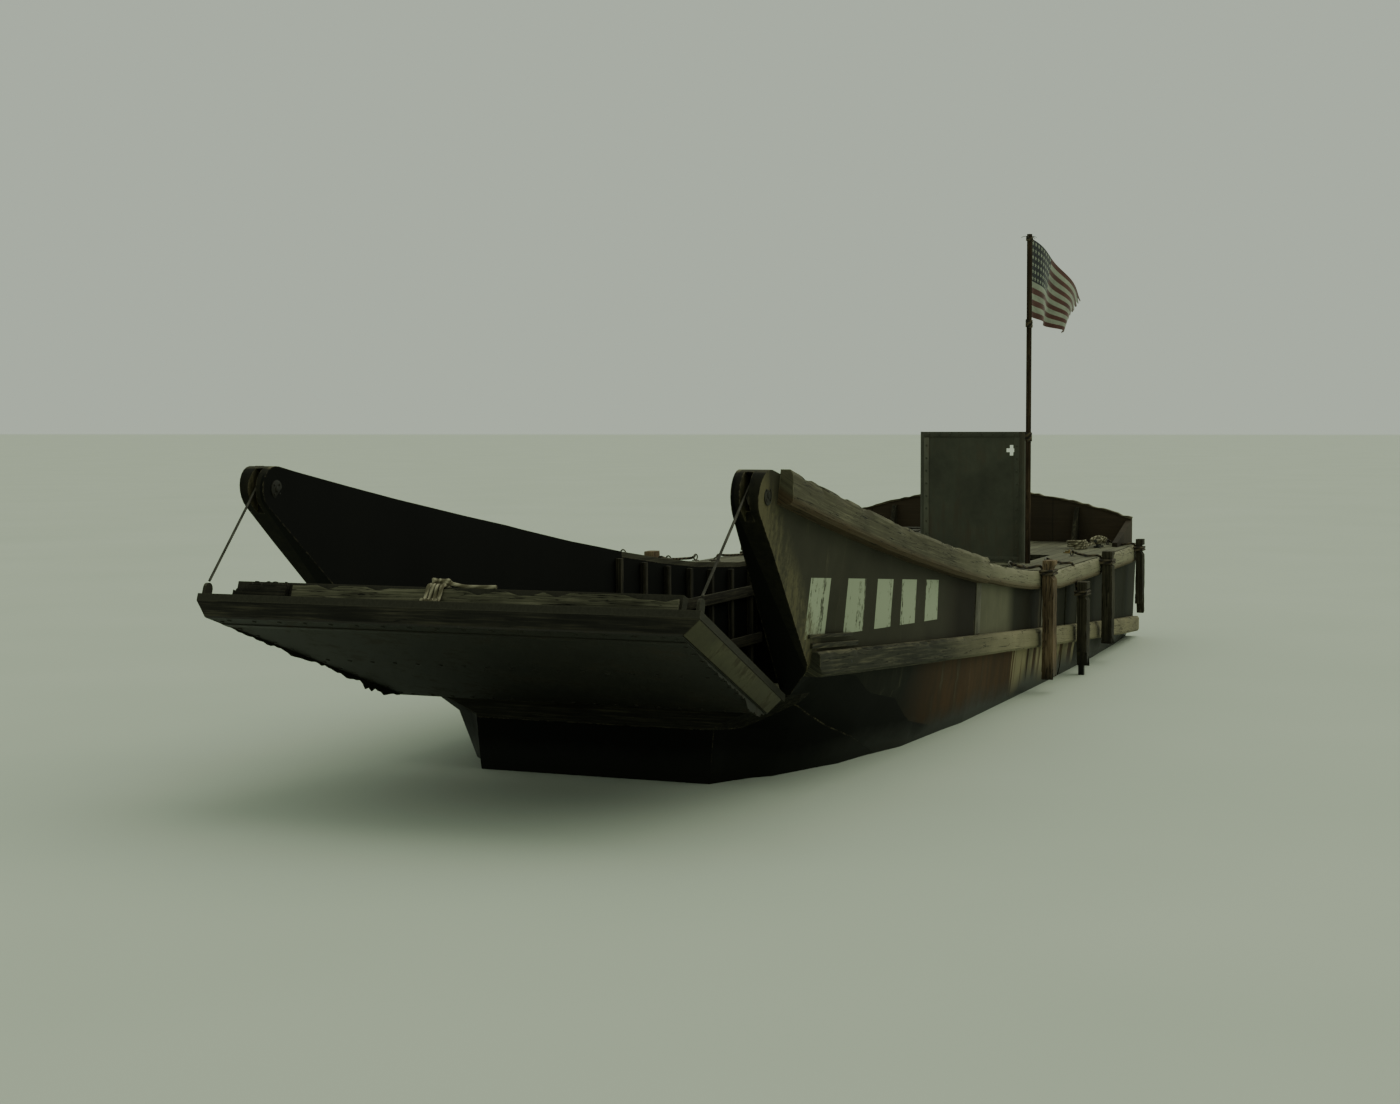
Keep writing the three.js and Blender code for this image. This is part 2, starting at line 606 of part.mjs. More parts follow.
// Helm: column in the cockpit and a wheel on its after side
const HELM = { y: 865, z: 1230, wheelX: -2520, radius: 210, rim: 15 };
function helmColumn() {
  const sides = [HELM.y - 80, HELM.y + 80];
  const column = block([-2420, COCKPIT.x[1] - GAP], sides, [COCKPIT.z + GAP, HELM.z + 110]);
  const boss = rod([-2400, HELM.y, HELM.z], [HELM.wheelX + 40, HELM.y, HELM.z], 26);
  return joined(column, boss);
}
piece("helm_column", helmColumn(), "steel");
function helmWheel() {
  const rim = new THREE.TorusGeometry(HELM.radius, HELM.rim, 8, 28).rotateY(Math.PI / 2);
  const spokes = steps(0, 180, 3).slice(0, 3).map((angle) => {
    const [y, z] = [HELM.radius * Math.cos(radians(angle)), HELM.radius * Math.sin(radians(angle))];
    return rod([0, -y, -z], [0, y, z], 9, 8);
  });
  const hub = rod([-24, 0, 0], [30, 0, 0], 36);
  return joined(rim, ...spokes, hub).translate(HELM.wheelX, HELM.y, HELM.z);
}
piece("helm_wheel", helmWheel(), "steel");

// Hand winch for the ramp, to starboard
const WINCH = { x: -2230, y: -840, base: SHEER_Z + GAP };
function winch() {
  const bed = block([-170, 170], [-230, 230], [0, 24]);
  const cheeks = [-200, 200].map((y) => block([-110, 110], [y - 10, y + 10], [20, 300]));
  const drum = rod([0, -205, 200], [0, 205, 200], 62, 16);
  const flanges = [-150, 150].map((y) => rod([0, y - 8, 200], [0, y + 8, 200], 105, 20));
  const crank = [
    rod([0, 200, 200], [0, 262, 200], 14),
    rod([0, 255, 200], [0, 255, 440], 12),
    rod([0, 250, 430], [0, 360, 430], 14),
  ];
  return joined(bed, ...cheeks, drum, ...flanges, ...crank).translate(WINCH.x, WINCH.y, WINCH.base);
}
piece("ramp_winch", winch(), "steel");

// Flagstaff beside the shield, and the flag that streams aft from it
const STAFF = { x: -2190, y: 1210, radius: 23, top: 3740 };
const staffAt = (z) => [STAFF.x, STAFF.y, z];
piece("flagstaff", rod(staffAt(SHEER_Z + GAP), staffAt(STAFF.top), STAFF.radius, 10), "timber");
const FLAG = { hoist: 660, top: 3700, heading: radians(25), thick: 12, columns: 14, rows: 4, wave: 75 };
const FLAG_REACH = { top: 720, low: 430 }; // of the upper and the lower edge, from the staff
const FLAG_DROP = { top: 500, low: 130 };
// A point of the flag, u along it from the staff and v down it. Its folds deepen to the lower edge.
function flagPoint(u, v) {
  const reach = STAFF.radius + 8 + u * (FLAG_REACH.top + (FLAG_REACH.low - FLAG_REACH.top) * v);
  const drop = FLAG_DROP.top * (1 - v) * Math.pow(u, 1.3) + v * (FLAG.hoist + FLAG_DROP.low * u);
  const wave = FLAG.wave * Math.pow(u, 0.7) * (0.4 + 0.6 * v) * Math.sin(2 * Math.PI * (1.7 * u - 0.15 * v));
  const [c, w] = [Math.cos(FLAG.heading), Math.sin(FLAG.heading)];
  return [STAFF.x - reach * c + wave * w, STAFF.y + reach * w + wave * c, FLAG.top - drop];
}
function flagSolid() {
  const rows = steps(0, 1, FLAG.columns).map((u) => {
    const edge = steps(0, 1, FLAG.rows).map((v) => flagPoint(u, v));
    const shift = (offset) => [offset * Math.sin(FLAG.heading), offset * Math.cos(FLAG.heading)];
    const faces = [FLAG.thick / 2, -FLAG.thick / 2].map((offset) => {
      const [dx, dy] = shift(offset);
      return edge.map(([x, y, z]) => [x + dx, y + dy, z]);
    });
    return [...faces[0], ...faces[1].reverse()];
  });
  const count = rows[0].length;
  const faces = [];
  for (let i = 0; i < FLAG.columns; i++) {
    for (let j = 0; j < count; j++) {
      const [a, b] = [i * count + j, i * count + ((j + 1) % count)];
      faces.push(a, b, b + count, a, b + count, a + count);
    }
  }
  const last = FLAG.columns * count;
  for (let j = 0; j < FLAG.rows; j++) {
    const [a, b] = [j, j + 1];
    const [c, d] = [count - 2 - j, count - 1 - j];
    faces.push(a, d, b, b, d, c);
    faces.push(last + a, last + b, last + d, last + b, last + c, last + d);
  }
  const geometry = new THREE.BufferGeometry();
  geometry.setAttribute("position", new THREE.Float32BufferAttribute(rows.flat(2), 3));
  geometry.setIndex(faces);
  geometry.computeVertexNormals();
  return geometry;
}
piece("flag", flagSolid(), "cloth");

// Skeg with the stern bearing and the heel that carries the rudder
const SKEG = { half: 55, low: -910, aft: -4440, heelAft: -5190 };
const RUDDER = { stockX: -5110, stock: 28, top: -300, low: -858, fore: -4985, aft: -5385, half: 30 };
function skeg() {
  const outline = [
    [SKEG.aft, SKEG.low],
    [-3000, SKEG.low],
    [0, -850],
    [2600, -640],
    [3150, -300],
    [3150, -100],
    [SKEG.aft, -100],
  ];
  const blade = cut(sidePrism(outline, -SKEG.half, SKEG.half), HULL.clone().translate(0, 0, -GAP));
  const heel = block([SKEG.heelAft, SKEG.aft + 200], [-40, 40], [SKEG.low, SKEG.low + 38]);
  const bearing = rod(shaftPoint(SKEG.aft + 90), shaftPoint(SKEG.aft - 50), 62, 16);
  const pintle = rod([RUDDER.stockX, 0, SKEG.low + 30], [RUDDER.stockX, 0, RUDDER.low - 4], 20);
  const bore = rod(shaftPoint(SKEG.aft + 60), shaftPoint(SKEG.aft - 60), 31, 16);
  return cut(joined(cut(blade, tunnelFree()), heel, bearing, pintle), bore);
}
// The space over the propeller that the skeg leaves open
function tunnelFree() {
  return block([STERN_X, SKEG.aft], [-200, 200], [SKEG.low + 60, 0]);
}
piece("skeg", skeg(), "hull");
piece("propeller_shaft", rod(shaftPoint(SKEG.aft + 50), shaftPoint(PROPELLER.x + 62), 28, 16), "bronze");

function propeller() {
  const blade = new THREE.Shape();
  blade.moveTo(-45, 30);
  blade.bezierCurveTo(-150, 110, -130, 250, 0, PROPELLER.radius);
  blade.bezierCurveTo(120, 260, 140, 110, 45, 30);
  const blades = [0, 120, 240].map((angle) => {
    const shape = new THREE.ExtrudeGeometry(blade, { depth: 14, bevelEnabled: false, curveSegments: 8 });
    return shape.translate(0, 0, -7).rotateY(radians(60)).rotateX(radians(angle));
  });
  const hub = new THREE.LatheGeometry(
    [[0, -95], [22, -88], [42, -50], [52, 0], [52, 60], [0, 60]].map(([r, h]) => new THREE.Vector2(r, h)),
    18,
  ).rotateZ(-Math.PI / 2);
  return joined(hub, ...blades).rotateY(-SHAFT_SLOPE).translate(...shaftPoint(PROPELLER.x));
}
piece("propeller", propeller(), "bronze");

function rudder() {
  const plan = [
    [RUDDER.fore, 0],
    [RUDDER.stockX, RUDDER.half],
    [RUDDER.aft, 8],
    [RUDDER.aft, -8],
    [RUDDER.stockX, -RUDDER.half],
  ];
  const stock = rod([RUDDER.stockX, 0, RUDDER.low], [RUDDER.stockX, 0, RUDDER.top + 62], RUDDER.stock + 10);
  return joined(planPrism(plan, RUDDER.low, RUDDER.top), stock);
}
piece("rudder", rudder(), "steel");

// Towing bitt and quarter cleats
function towingBitt() {
  const post = block([-4920, -4780], [-70, 70], [SHEER_Z + GAP, SHEER_Z + 460]);
  const pin = rod([-4850, -210, SHEER_Z + 330], [-4850, 210, SHEER_Z + 330], 24);
  return joined(post, pin);
}
piece("towing_bitt", towingBitt(), "timber");
function cleat() {
  const [x, y, z] = [-4550, 1330, SHEER_Z + GAP];
  const base = block([x - 90, x + 90], [y - 30, y + 30], [z, z + 16]);
  const legs = [-45, 45].map((dx) => rod([x + dx, y, z + 10], [x + dx, y, z + 66], 15, 8));
  const horn = rod([x - 150, y, z + 66], [x + 150, y, z + 66], 17, 10);
  return joined(base, ...legs, horn);
}
pair("quarter_cleat", cleat(), "steel");

// Timber fenders that hang outside the guards
const FENDERS = [
  // name, x, topZ, lowZ, width, thick
  ["fender_1", -830, 1065, 100, 150, 105],
  ["fender_2", -2100, 800, -60, 150, 100],
  ["fender_3", -3100, 1000, 150, 140, 110],
  ["fender_4", -4850, 1010, 230, 130, 85],
];
for (const [name, x, topZ, lowZ, width, thick] of FENDERS) {
  const inner = hullValue(x, COLUMN.sheerHalf) + UPPER_AFT.thick + 6;
  const edge = 0.22 * thick;
  const plan = [
    [x - width / 2, inner],
    [x + width / 2, inner],
    [x + width / 2, inner + thick - edge],
    [x + width / 2 - edge, inner + thick],
    [x - width / 2 + edge, inner + thick],
    [x - width / 2, inner + thick - edge],
  ];
  pair(name, planPrism(plan, lowZ, topZ), "timber");
}

// Ramp, in its own frame: x from the hinge to the free edge, z square to its upper face
const RAMP = { length: 1980, hingeHalf: 1290, freeHalf: 1510, start: 48, top: -CLEARANCE };
const RAMP_PARTS = { panel: 42, plate: 10, depth: 138, beam: 95, frameStart: 120 };
const RAMP_BEVEL = 80; // how much narrower each side is at the plate than at the panel
const TREAD_STEPS = steps(320, 1520, 5);
const TREAD = { half: 1000, width: 46, height: 18 };
const LIP = { x: 1790, half: 1350, width: 60, height: 110 }; // the raised batten near the free edge
const EYE = { x: 1930, y: 1486, radius: 34, half: 9, rise: 40 };
const ROOT = 10; // how far a joined piece runs into the one that carries it
const PANEL_LOW = RAMP.top - RAMP_PARTS.panel;
const PLATE_LOW = RAMP.top - RAMP_PARTS.depth;
function rampHalf(x) {
  return RAMP.hingeHalf + ((RAMP.freeHalf - RAMP.hingeHalf) * x) / RAMP.length;
}
function rampPlan(x0, x1, inset, z0, z1) {
  const plan = [
    [x0, -rampHalf(x0) + inset],
    [x1, -rampHalf(x1) + inset],
    [x1, rampHalf(x1) - inset],
    [x0, rampHalf(x0) - inset],
  ];
  return planPrism(plan, z0, z1);
}
// The ramp's end outline at x between two heights, with its sides sloping in towards the plate.
function rampEnd(x, z0, z1) {
  const halfAt = (z) => rampHalf(x) - (RAMP_BEVEL * (PANEL_LOW - z)) / (PANEL_LOW - PLATE_LOW);
  return [
    [-halfAt(z0), z0],
    [halfAt(z0), z0],
    [halfAt(z1), z1],
    [-halfAt(z1), z1],
  ];
}
function batten(x, { half, width, height }) {
  return block([x, x + width], [-half, half], [PANEL_LOW + ROOT, RAMP.top + height]);
}
function cableEye(y) {
  const z = RAMP.top + EYE.rise;
  const [y0, y1] = [y - EYE.half, y + EYE.half];
  const lug = block([EYE.x - EYE.radius, EYE.x + EYE.radius], [y0, y1], [PANEL_LOW + ROOT, z]);
  return joined(lug, rod([EYE.x, y0, z], [EYE.x, y1, z], EYE.radius, 14));
}
function rampPanel() {
  const plate = rampPlan(RAMP.start, RAMP.length, 0, PANEL_LOW, RAMP.top);
  const treads = TREAD_STEPS.map((x) => batten(x, TREAD));
  return joined(plate, ...treads, batten(LIP.x, LIP), cableEye(EYE.y), cableEye(-EYE.y));
}
piece("ramp_panel", rampPanel(), "deck", ramp);
function rampFrame() {
  const [low, high] = [PLATE_LOW + RAMP_PARTS.plate + GAP, PANEL_LOW - GAP];
  const start = RAMP_PARTS.frameStart; // its lower edge stays clear of the headlog when the ramp hangs down
  const { beam } = RAMP_PARTS;
  const rim = cut(
    loft([start, RAMP.length].map((x) => ({ x, ring: rampEnd(x, low, high) }))),
    rampPlan(start + beam, RAMP.length - beam, beam + RAMP_BEVEL, low - ROOT, high + ROOT),
  );
  const knuckles = RAMP_KNUCKLES.map((y) => {
    const strap = [
      [0, -26],
      [40, high - 30],
      [start + 60, high - 30],
      [start + 60, high - 3],
      [42, high - 3],
      [24, -8],
      [0, 0],
    ];
    return knuckle(y, sidePrism(strap, y - KNUCKLE_WIDTH / 2, y + KNUCKLE_WIDTH / 2));
  });
  const bore = rod([0, -1100, 0], [0, 1100, 0], PIN_RADIUS + 2, 14);
  return cut(joined(rim, ...knuckles), bore);
}
piece("ramp_frame", rampFrame(), "timber", ramp);
const plateSpan = [RAMP_PARTS.frameStart + 4, RAMP.length];
const plateHeights = [PLATE_LOW, PLATE_LOW + RAMP_PARTS.plate];
piece("ramp_plate", rampPlan(...plateSpan, RAMP_BEVEL, ...plateHeights), "steel", ramp);

// Sheaves, and the lift cables from the top of each sheave's fore side to the ramp's eyes
function sheave() {
  const { half, slotHalf, radius, axle } = SHEAVE;
  const wheel = rod([0, -half, 0], [0, half, 0], radius, 18);
  const pin = rod([0, GAP - slotHalf, 0], [0, slotHalf - GAP, 0], axle);
  return joined(wheel, pin).translate(SHEAVE.x, SHEAVE.y, SHEAVE.z);
}
pair("sheave", sheave(), "wire");
const CABLE_RADIUS = 8;
const CABLE_LEAVES = radians(47.5); // angle round the sheave, up from straight ahead
function cable() {
  const eye = new THREE.Vector3(EYE.x, EYE.y, RAMP.top + EYE.rise + EYE.radius + CABLE_RADIUS + 2);
  eye.applyAxisAngle(new THREE.Vector3(0, 1, 0), -RAMP_REST);
  const low = [HINGE.x + eye.x, EYE.y, HINGE.z + eye.z];
  const reach = SHEAVE.radius + CABLE_RADIUS + 1;
  const [ahead, up] = [reach * Math.cos(CABLE_LEAVES), reach * Math.sin(CABLE_LEAVES)];
  return rod([SHEAVE.x + ahead, SHEAVE.y, SHEAVE.z + up], low, CABLE_RADIUS, 8);
}
pair("ramp_cable", cable(), "wire");

export default boat;
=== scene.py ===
"""A 36-foot wooden landing craft with a bow ramp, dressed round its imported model.

Lengths are metres in the model's own frame: +X is forward, +Y is to port, +Z is up, and the
origin is on the centreline amidships, at the waterline.
"""

from __future__ import annotations

import logging
import math
import random
from contextlib import contextmanager
from dataclasses import dataclass
from enum import Enum
from typing import Callable, Iterable, Iterator, Optional, Sequence, Union

import bmesh
import bpy
from mathutils import Matrix, Vector

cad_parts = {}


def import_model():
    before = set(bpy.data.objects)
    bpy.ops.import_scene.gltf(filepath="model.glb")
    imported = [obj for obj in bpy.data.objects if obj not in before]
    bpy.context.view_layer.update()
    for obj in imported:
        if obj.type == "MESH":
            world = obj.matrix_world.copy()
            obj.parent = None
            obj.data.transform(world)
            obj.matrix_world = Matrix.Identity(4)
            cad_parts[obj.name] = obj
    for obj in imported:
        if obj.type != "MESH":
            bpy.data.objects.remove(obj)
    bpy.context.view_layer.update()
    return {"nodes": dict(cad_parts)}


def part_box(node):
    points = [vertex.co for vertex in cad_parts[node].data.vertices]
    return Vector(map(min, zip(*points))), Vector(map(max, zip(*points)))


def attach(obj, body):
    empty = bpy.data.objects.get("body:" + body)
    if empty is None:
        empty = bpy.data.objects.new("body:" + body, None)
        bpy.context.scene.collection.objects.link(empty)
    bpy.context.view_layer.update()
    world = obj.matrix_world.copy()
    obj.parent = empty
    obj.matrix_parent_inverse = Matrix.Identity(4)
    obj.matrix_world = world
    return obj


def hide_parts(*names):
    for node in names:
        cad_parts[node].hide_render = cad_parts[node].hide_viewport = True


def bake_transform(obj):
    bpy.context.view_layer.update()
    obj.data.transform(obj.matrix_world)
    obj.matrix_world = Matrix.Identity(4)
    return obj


LOG = logging.getLogger("landing_craft")
Obj = bpy.types.Object
Socket = bpy.types.NodeSocket
Point = Sequence[float]
Link = Union[float, str, Sequence[float], Socket, None]
X, Y, Z = Vector((1, 0, 0)), Vector((0, 1, 0)), Vector((0, 0, 1))


class Slot(Enum):
    """The record's material slots."""

    HULL = "hull_paint"
    GUARD = "guard_timber"
    DECK = "deck_planks"
    PLATE = "steel_plate"
    BARE = "bare_steel"
    BRONZE = "bronze"
    ENGINE = "engine_grey"
    CLOTH = "flag_cloth"


class Body(Enum):
    """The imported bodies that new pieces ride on."""

    HULL = "hull"
    RAMP = "ramp"
    LID_PORT = "engine_lid_port"
    LID_STARBOARD = "engine_lid_starboard"


class Side(Enum):
    """The two sides of the boat, as the sign of Y."""

    PORT = 1
    STARBOARD = -1

    @property
    def word(self) -> str:
        """The side's name in piece names."""
        return self.name.lower()


# The hull's lines, repeated from the part's source


@dataclass(frozen=True)
class HullLines:
    """The lines of the hull that fine pieces are set out from."""

    sheer_low: float = 0.93
    sheer_rise: float = 1.04
    sheer_power: float = 1.4
    sheer_start: float = -1.5
    tip: float = 5.41
    sheer_xs: tuple[float, ...] = (-5.4, -1.5, -0.5, 0.2, 0.95, 1.8, 2.6, 3.3, 4.05, 4.5, 5.0, 5.72)
    # x, half width at the lower guard, half width at the sheer
    stations: tuple[tuple[float, float, float], ...] = (
        (-5.4, 1.5, 1.53),
        (-4.6, 1.545, 1.58),
        (-3.4, 1.575, 1.6),
        (-1.6, 1.58, 1.6),
        (1.0, 1.575, 1.6),
        (2.2, 1.56, 1.6),
        (3.0, 1.54, 1.605),
        (3.6, 1.52, 1.61),
        (4.02, 1.5, 1.615),
        (5.72, 1.5, 1.627),
    )
    # x, floor height, half width at the floor, half width at the top
    well: tuple[tuple[float, float, float, float], ...] = (
        (-1.95, -0.18, 1.19, 1.19),
        (0.95, -0.18, 1.19, 1.19),
        (1.9, -0.18, 1.19, 1.215),
        (3.82, 0.52, 1.2, 1.4),
        (4.05, 0.53, 1.23, 1.42),
        (5.72, 1.7, 1.455, 1.475),
    )

    @staticmethod
    def between(rows: Sequence[Sequence[float]], x: float, column: int) -> float:
        """A table's value at x, by straight interpolation."""
        for low, high in zip(rows, rows[1:]):
            if x <= high[0]:
                part = (x - low[0]) / (high[0] - low[0])
                return low[column] + (high[column] - low[column]) * part
        return rows[-1][column]

    def sheer(self, x: float) -> float:
        """Height of the deck edge."""
        rows = []
        for at in self.sheer_xs:
            part = max(0.0, (at - self.sheer_start) / (self.tip - self.sheer_start))
            rows.append((at, self.sheer_low + self.sheer_rise * part**self.sheer_power))
        return self.between(rows, x, 1)

    @staticmethod
    def guard(x: float) -> float:
        """Height of the lower guard's middle."""
        return 0.154 + 0.637 * (x + 5.0) / 9.4

    def guard_side(self, x: float) -> float:
        """Half width of the hull at the lower guard."""
        return self.between(self.stations, x, 1)

    def sheer_side(self, x: float) -> float:
        """Half width of the hull at the sheer."""
        return self.between(self.stations, x, 2)

    def side(self, x: float, z: float) -> float:
        """Half width of the hull's outside at a height above the lower guard."""
        low, high = self.guard_side(x), self.sheer_side(x)
        return low + (high - low) * (z - self.guard(x)) / (self.sheer(x) - self.guard(x))

    def inside(self, x: float, z: float) -> float:
        """Half width of the load space at a height."""
        floor, low, high = (self.between(self.well, x, column) for column in (1, 2, 3))
        return low + (high - low) * (z - floor + 0.2) / (2.5 - floor + 0.2)

    def floor(self, x: float) -> float:
        """Height of the load floor."""
        return -0.18 + max(0.0, x - 1.9) * 0.7 / 1.92


LINES = HullLines()
DECK = LINES.sheer_low
HINGE = Vector((4.05, 0.0, 0.57))
RAMP_FRAME = Matrix.Translation(HINGE) @ Matrix.Rotation(-math.radians(20), 4, "Y")
SHEAVE = (5.222, 1.525, 1.792)  # middle of the port sheave
RAMP_AHEAD = RAMP_FRAME.to_3x3() @ X
RAMP_UP = RAMP_FRAME.to_3x3() @ Z


def on_ramp(x: float, y: float, z: float) -> Vector:
    """A point given from the ramp's hinge, along and square to the ramp at rest."""
    return RAMP_FRAME @ Vector((x, y, z))


# Shaping


def deselect() -> None:
    """Leaves edit mode and selects nothing."""
    if bpy.context.mode != "OBJECT":
        bpy.ops.object.mode_set(mode="OBJECT")
    bpy.ops.object.select_all(action="DESELECT")


def take(obj: Obj) -> Obj:
    """Selects one object alone and makes it active."""
    deselect()
    obj.select_set(True)
    bpy.context.view_layer.objects.active = obj
    return obj


def linked(name: str, data: Optional[bpy.types.ID]) -> Obj:
    """A new object in the scene that holds some data."""
    obj = bpy.data.objects.new(name, data)
    bpy.context.scene.collection.objects.link(obj)
    return obj


@contextmanager
def shaping(obj: Obj, kind: str = "FACE") -> Iterator[bmesh.types.BMesh]:
    """Opens an object in edit mode and closes it again.

    Args:
        obj: The object to shape.
        kind: VERT, EDGE or FACE.
    """
    take(obj)
    bpy.ops.object.mode_set(mode="EDIT")
    bpy.ops.mesh.select_mode(type=kind)
    yield bmesh.from_edit_mesh(obj.data)
    bpy.ops.object.mode_set(mode="OBJECT")


def pick(obj: Obj, kind: str, test: Callable[..., bool]) -> None:
    """Selects elements of an open mesh by their place or normal.

    Args:
        obj: The object in edit mode.
        kind: verts, edges or faces.
        test: Says for one element whether it is wanted.
    """
    bpy.ops.mesh.select_all(action="DESELECT")
    mesh = bmesh.from_edit_mesh(obj.data)
    for item in getattr(mesh, kind):
        if test(item):
            item.select_set(True)
    mesh.select_flush_mode()
    bmesh.update_edit_mesh(obj.data)


def sliced(cuts: Iterable[tuple[Point, Point]]) -> None:
    """Cuts the open mesh by planes, each given as a point on it and its direction."""
    for at, normal in cuts:
        bpy.ops.mesh.select_all(action="SELECT")
        bpy.ops.mesh.bisect(plane_co=at, plane_no=normal)


def named(name: str) -> Obj:
    """Names the object that an operator has just made."""
    obj = bpy.context.object
    obj.name = name
    obj.data.name = name
    return obj


def settle(obj: Obj, place: Optional[Matrix] = None) -> Obj:
    """Writes the object's place, turn and size into its mesh.

    Args:
        obj: The object.
        place: Where it goes first, if it isn't there yet.
    """
    if place is not None:
        obj.matrix_world = place
    take(obj)
    bpy.ops.object.transform_apply(location=True, rotation=True, scale=True)
    return obj


def finish_with(obj: Obj, kind: str, **settings: object) -> None:
    """Adds one modifier and applies it."""
    take(obj)
    modifier = obj.modifiers.new(kind.lower(), kind)
    for key, value in settings.items():
        setattr(modifier, key, value)
    bpy.ops.object.modifier_apply(modifier=modifier.name)


def box(low: Point, high: Point, bevel: float = 0.004) -> Obj:
    """A squared length of wood or metal with its edges eased.

    Args:
        low: Its lowest corner.
        high: Its highest corner.
        bevel: Width of the eased edge.
    """
    deselect()
    centre = [(a + b) / 2 for a, b in zip(low, high)]
    bpy.ops.mesh.primitive_cube_add(size=1, location=centre, scale=[b - a for a, b in zip(low, high)])
    obj = settle(named("box"))
    if bevel > 0:
        with shaping(obj, "EDGE"):
            bpy.ops.mesh.select_all(action="SELECT")
            bpy.ops.mesh.bevel(offset=bevel, segments=2, affect="EDGES")
    return obj


def strut(start: Point, end: Point, width: float, depth: float, outward: Point, bevel: float = 0.003) -> Obj:
    """A squared length from one point to another.

    Args:
        start: Middle of one end.
        end: Middle of the other.
        width: Across the length and across the outward direction.
        depth: Along the outward direction.
        outward: Direction that the depth is measured in.
        bevel: Width of the eased edge.
    """
    a, b = Vector(start), Vector(end)
    along = (b - a).normalized()
    out = (Vector(outward) - along * Vector(outward).dot(along)).normalized()
    obj = box((-width / 2, -depth / 2, 0), (width / 2, depth / 2, (b - a).length), bevel)
    turn = Matrix((out.cross(along), out, along)).transposed().to_4x4()
    return settle(obj, Matrix.Translation(a) @ turn)


def joined(name: str, parts: Sequence[Obj]) -> Obj:
    """Joins several objects into one named mesh."""
    deselect()
    for part in parts:
        part.select_set(True)
    bpy.context.view_layer.objects.active = parts[0]
    if len(parts) > 1:
        bpy.ops.object.join()
    return named(name)


def facing(at: Point, out: Point) -> Matrix:
    """A place whose own Z points out."""
    return Matrix.Translation(Vector(at)) @ Vector(out).to_track_quat("Z", "Y").to_matrix().to_4x4()


def bolts(radius: float, height: float, places: Sequence[Matrix]) -> Obj:
    """Domed bolt heads as one mesh, each standing out along its place's own Z."""
    deselect()
    bpy.ops.mesh.primitive_cylinder_add(
        vertices=8, radius=radius, depth=height * 1.5, location=(0, 0, height * 0.25)
    )
    head = settle(named("bolt_head"))
    with shaping(head):
        pick(head, "faces", lambda face: face.normal.z > 0.9)
        bpy.ops.mesh.bevel(offset=radius * 0.45, segments=2, affect="EDGES")
    copies = []
    for place in places:
        copies.append(linked("bolt", head.data.copy()))
        copies[-1].matrix_world = place
    bpy.data.objects.remove(head)
    return settle(joined("bolts", copies))


def disc(at: Point, out: Point, radius: float, height: float, hole: float = 0.0) -> Obj:
    """A round plate with an eased edge, or a ring with a hole through it.

    Args:
        at: Middle of its back face.
        out: Direction that it faces.
        radius: Its radius.
        height: Its thickness.
        hole: Radius of the hole.
    """
    deselect()
    bpy.ops.mesh.primitive_cylinder_add(
        vertices=24, radius=radius, depth=height, location=(0, 0, height / 2)
    )
    obj = settle(named("disc"))
    with shaping(obj):
        pick(obj, "faces", lambda face: abs(face.normal.z) > 0.9)
        if hole > 0:
            bpy.ops.mesh.inset(thickness=radius - hole)
            bpy.ops.mesh.bridge_edge_loops()
        else:
            pick(obj, "faces", lambda face: face.normal.z > 0.9)
            bpy.ops.mesh.bevel(offset=min(radius, height) * 0.35, segments=2, affect="EDGES")
    return settle(obj, facing(at, out))


def ring(at: Point, out: Point, radius: float, wire: float) -> Obj:
    """A round-bar ring that lies square to a direction."""
    deselect()
    bpy.ops.mesh.primitive_torus_add(
        major_radius=radius, minor_radius=wire, major_segments=24, minor_segments=8
    )
    return settle(named("ring"), facing(at, out))


def run_of_rope(points: Sequence[Point], radius: float, closed: bool = False) -> Obj:
    """A rope or wire through some points.

    Args:
        points: The points that it passes through.
        radius: Half its thickness.
        closed: Whether its ends meet.
    """
    deselect()
    bpy.ops.curve.primitive_nurbs_path_add()
    obj = named("rope")
    curve = obj.data
    curve.splines.clear()
    spline = curve.splines.new("NURBS")
    spline.points.add(len(points) - 1)
    for knot, point in zip(spline.points, points):
        knot.co = (*point, 1)
    spline.order_u = 3
    spline.use_endpoint_u = not closed
    spline.use_cyclic_u = closed
    curve.dimensions = "3D"
    curve.resolution_u = 4
    curve.bevel_depth = radius
    curve.bevel_resolution = 2
    curve.use_fill_caps = True
    take(obj)
    bpy.ops.object.convert(target="MESH")
    return settle(named("rope"))


def wear(obj: Obj, depth: float, size: float, seed: int) -> None:
    """Sinks a surface by an uneven amount, never out past where it was.

    Args:
        obj: The piece.
        depth: The deepest wear.
        size: Size of the knocks.
        seed: Which pattern of knocks.
    """
    texture = bpy.data.textures.new("wear", "CLOUDS")
    texture.noise_scale = size
    texture.noise_depth = 2
    texture.contrast = 1.3
    guide = linked("guide", None)
    guide.location = (seed * 3.1, seed * 1.7, seed * 0.9)
    bpy.context.view_layer.update()
    finish_with(
        obj,
        "DISPLACE",
        texture=texture,
        strength=depth,
        mid_level=1.15,
        texture_coords="OBJECT",
        texture_coords_object=guide,
    )
    bpy.data.objects.remove(guide)
    bpy.data.textures.remove(texture)


# Finishes


def linear(code: str) -> tuple[float, float, float, float]:
    """An sRGB hex colour as linear red, green, blue and alpha."""
    parts = [int(code[i : i + 2], 16) / 255 for i in (1, 3, 5)]
    red, green, blue = (p / 12.92 if p <= 0.04045 else ((p + 0.055) / 1.055) ** 2.4 for p in parts)
    return red, green, blue, 1.0


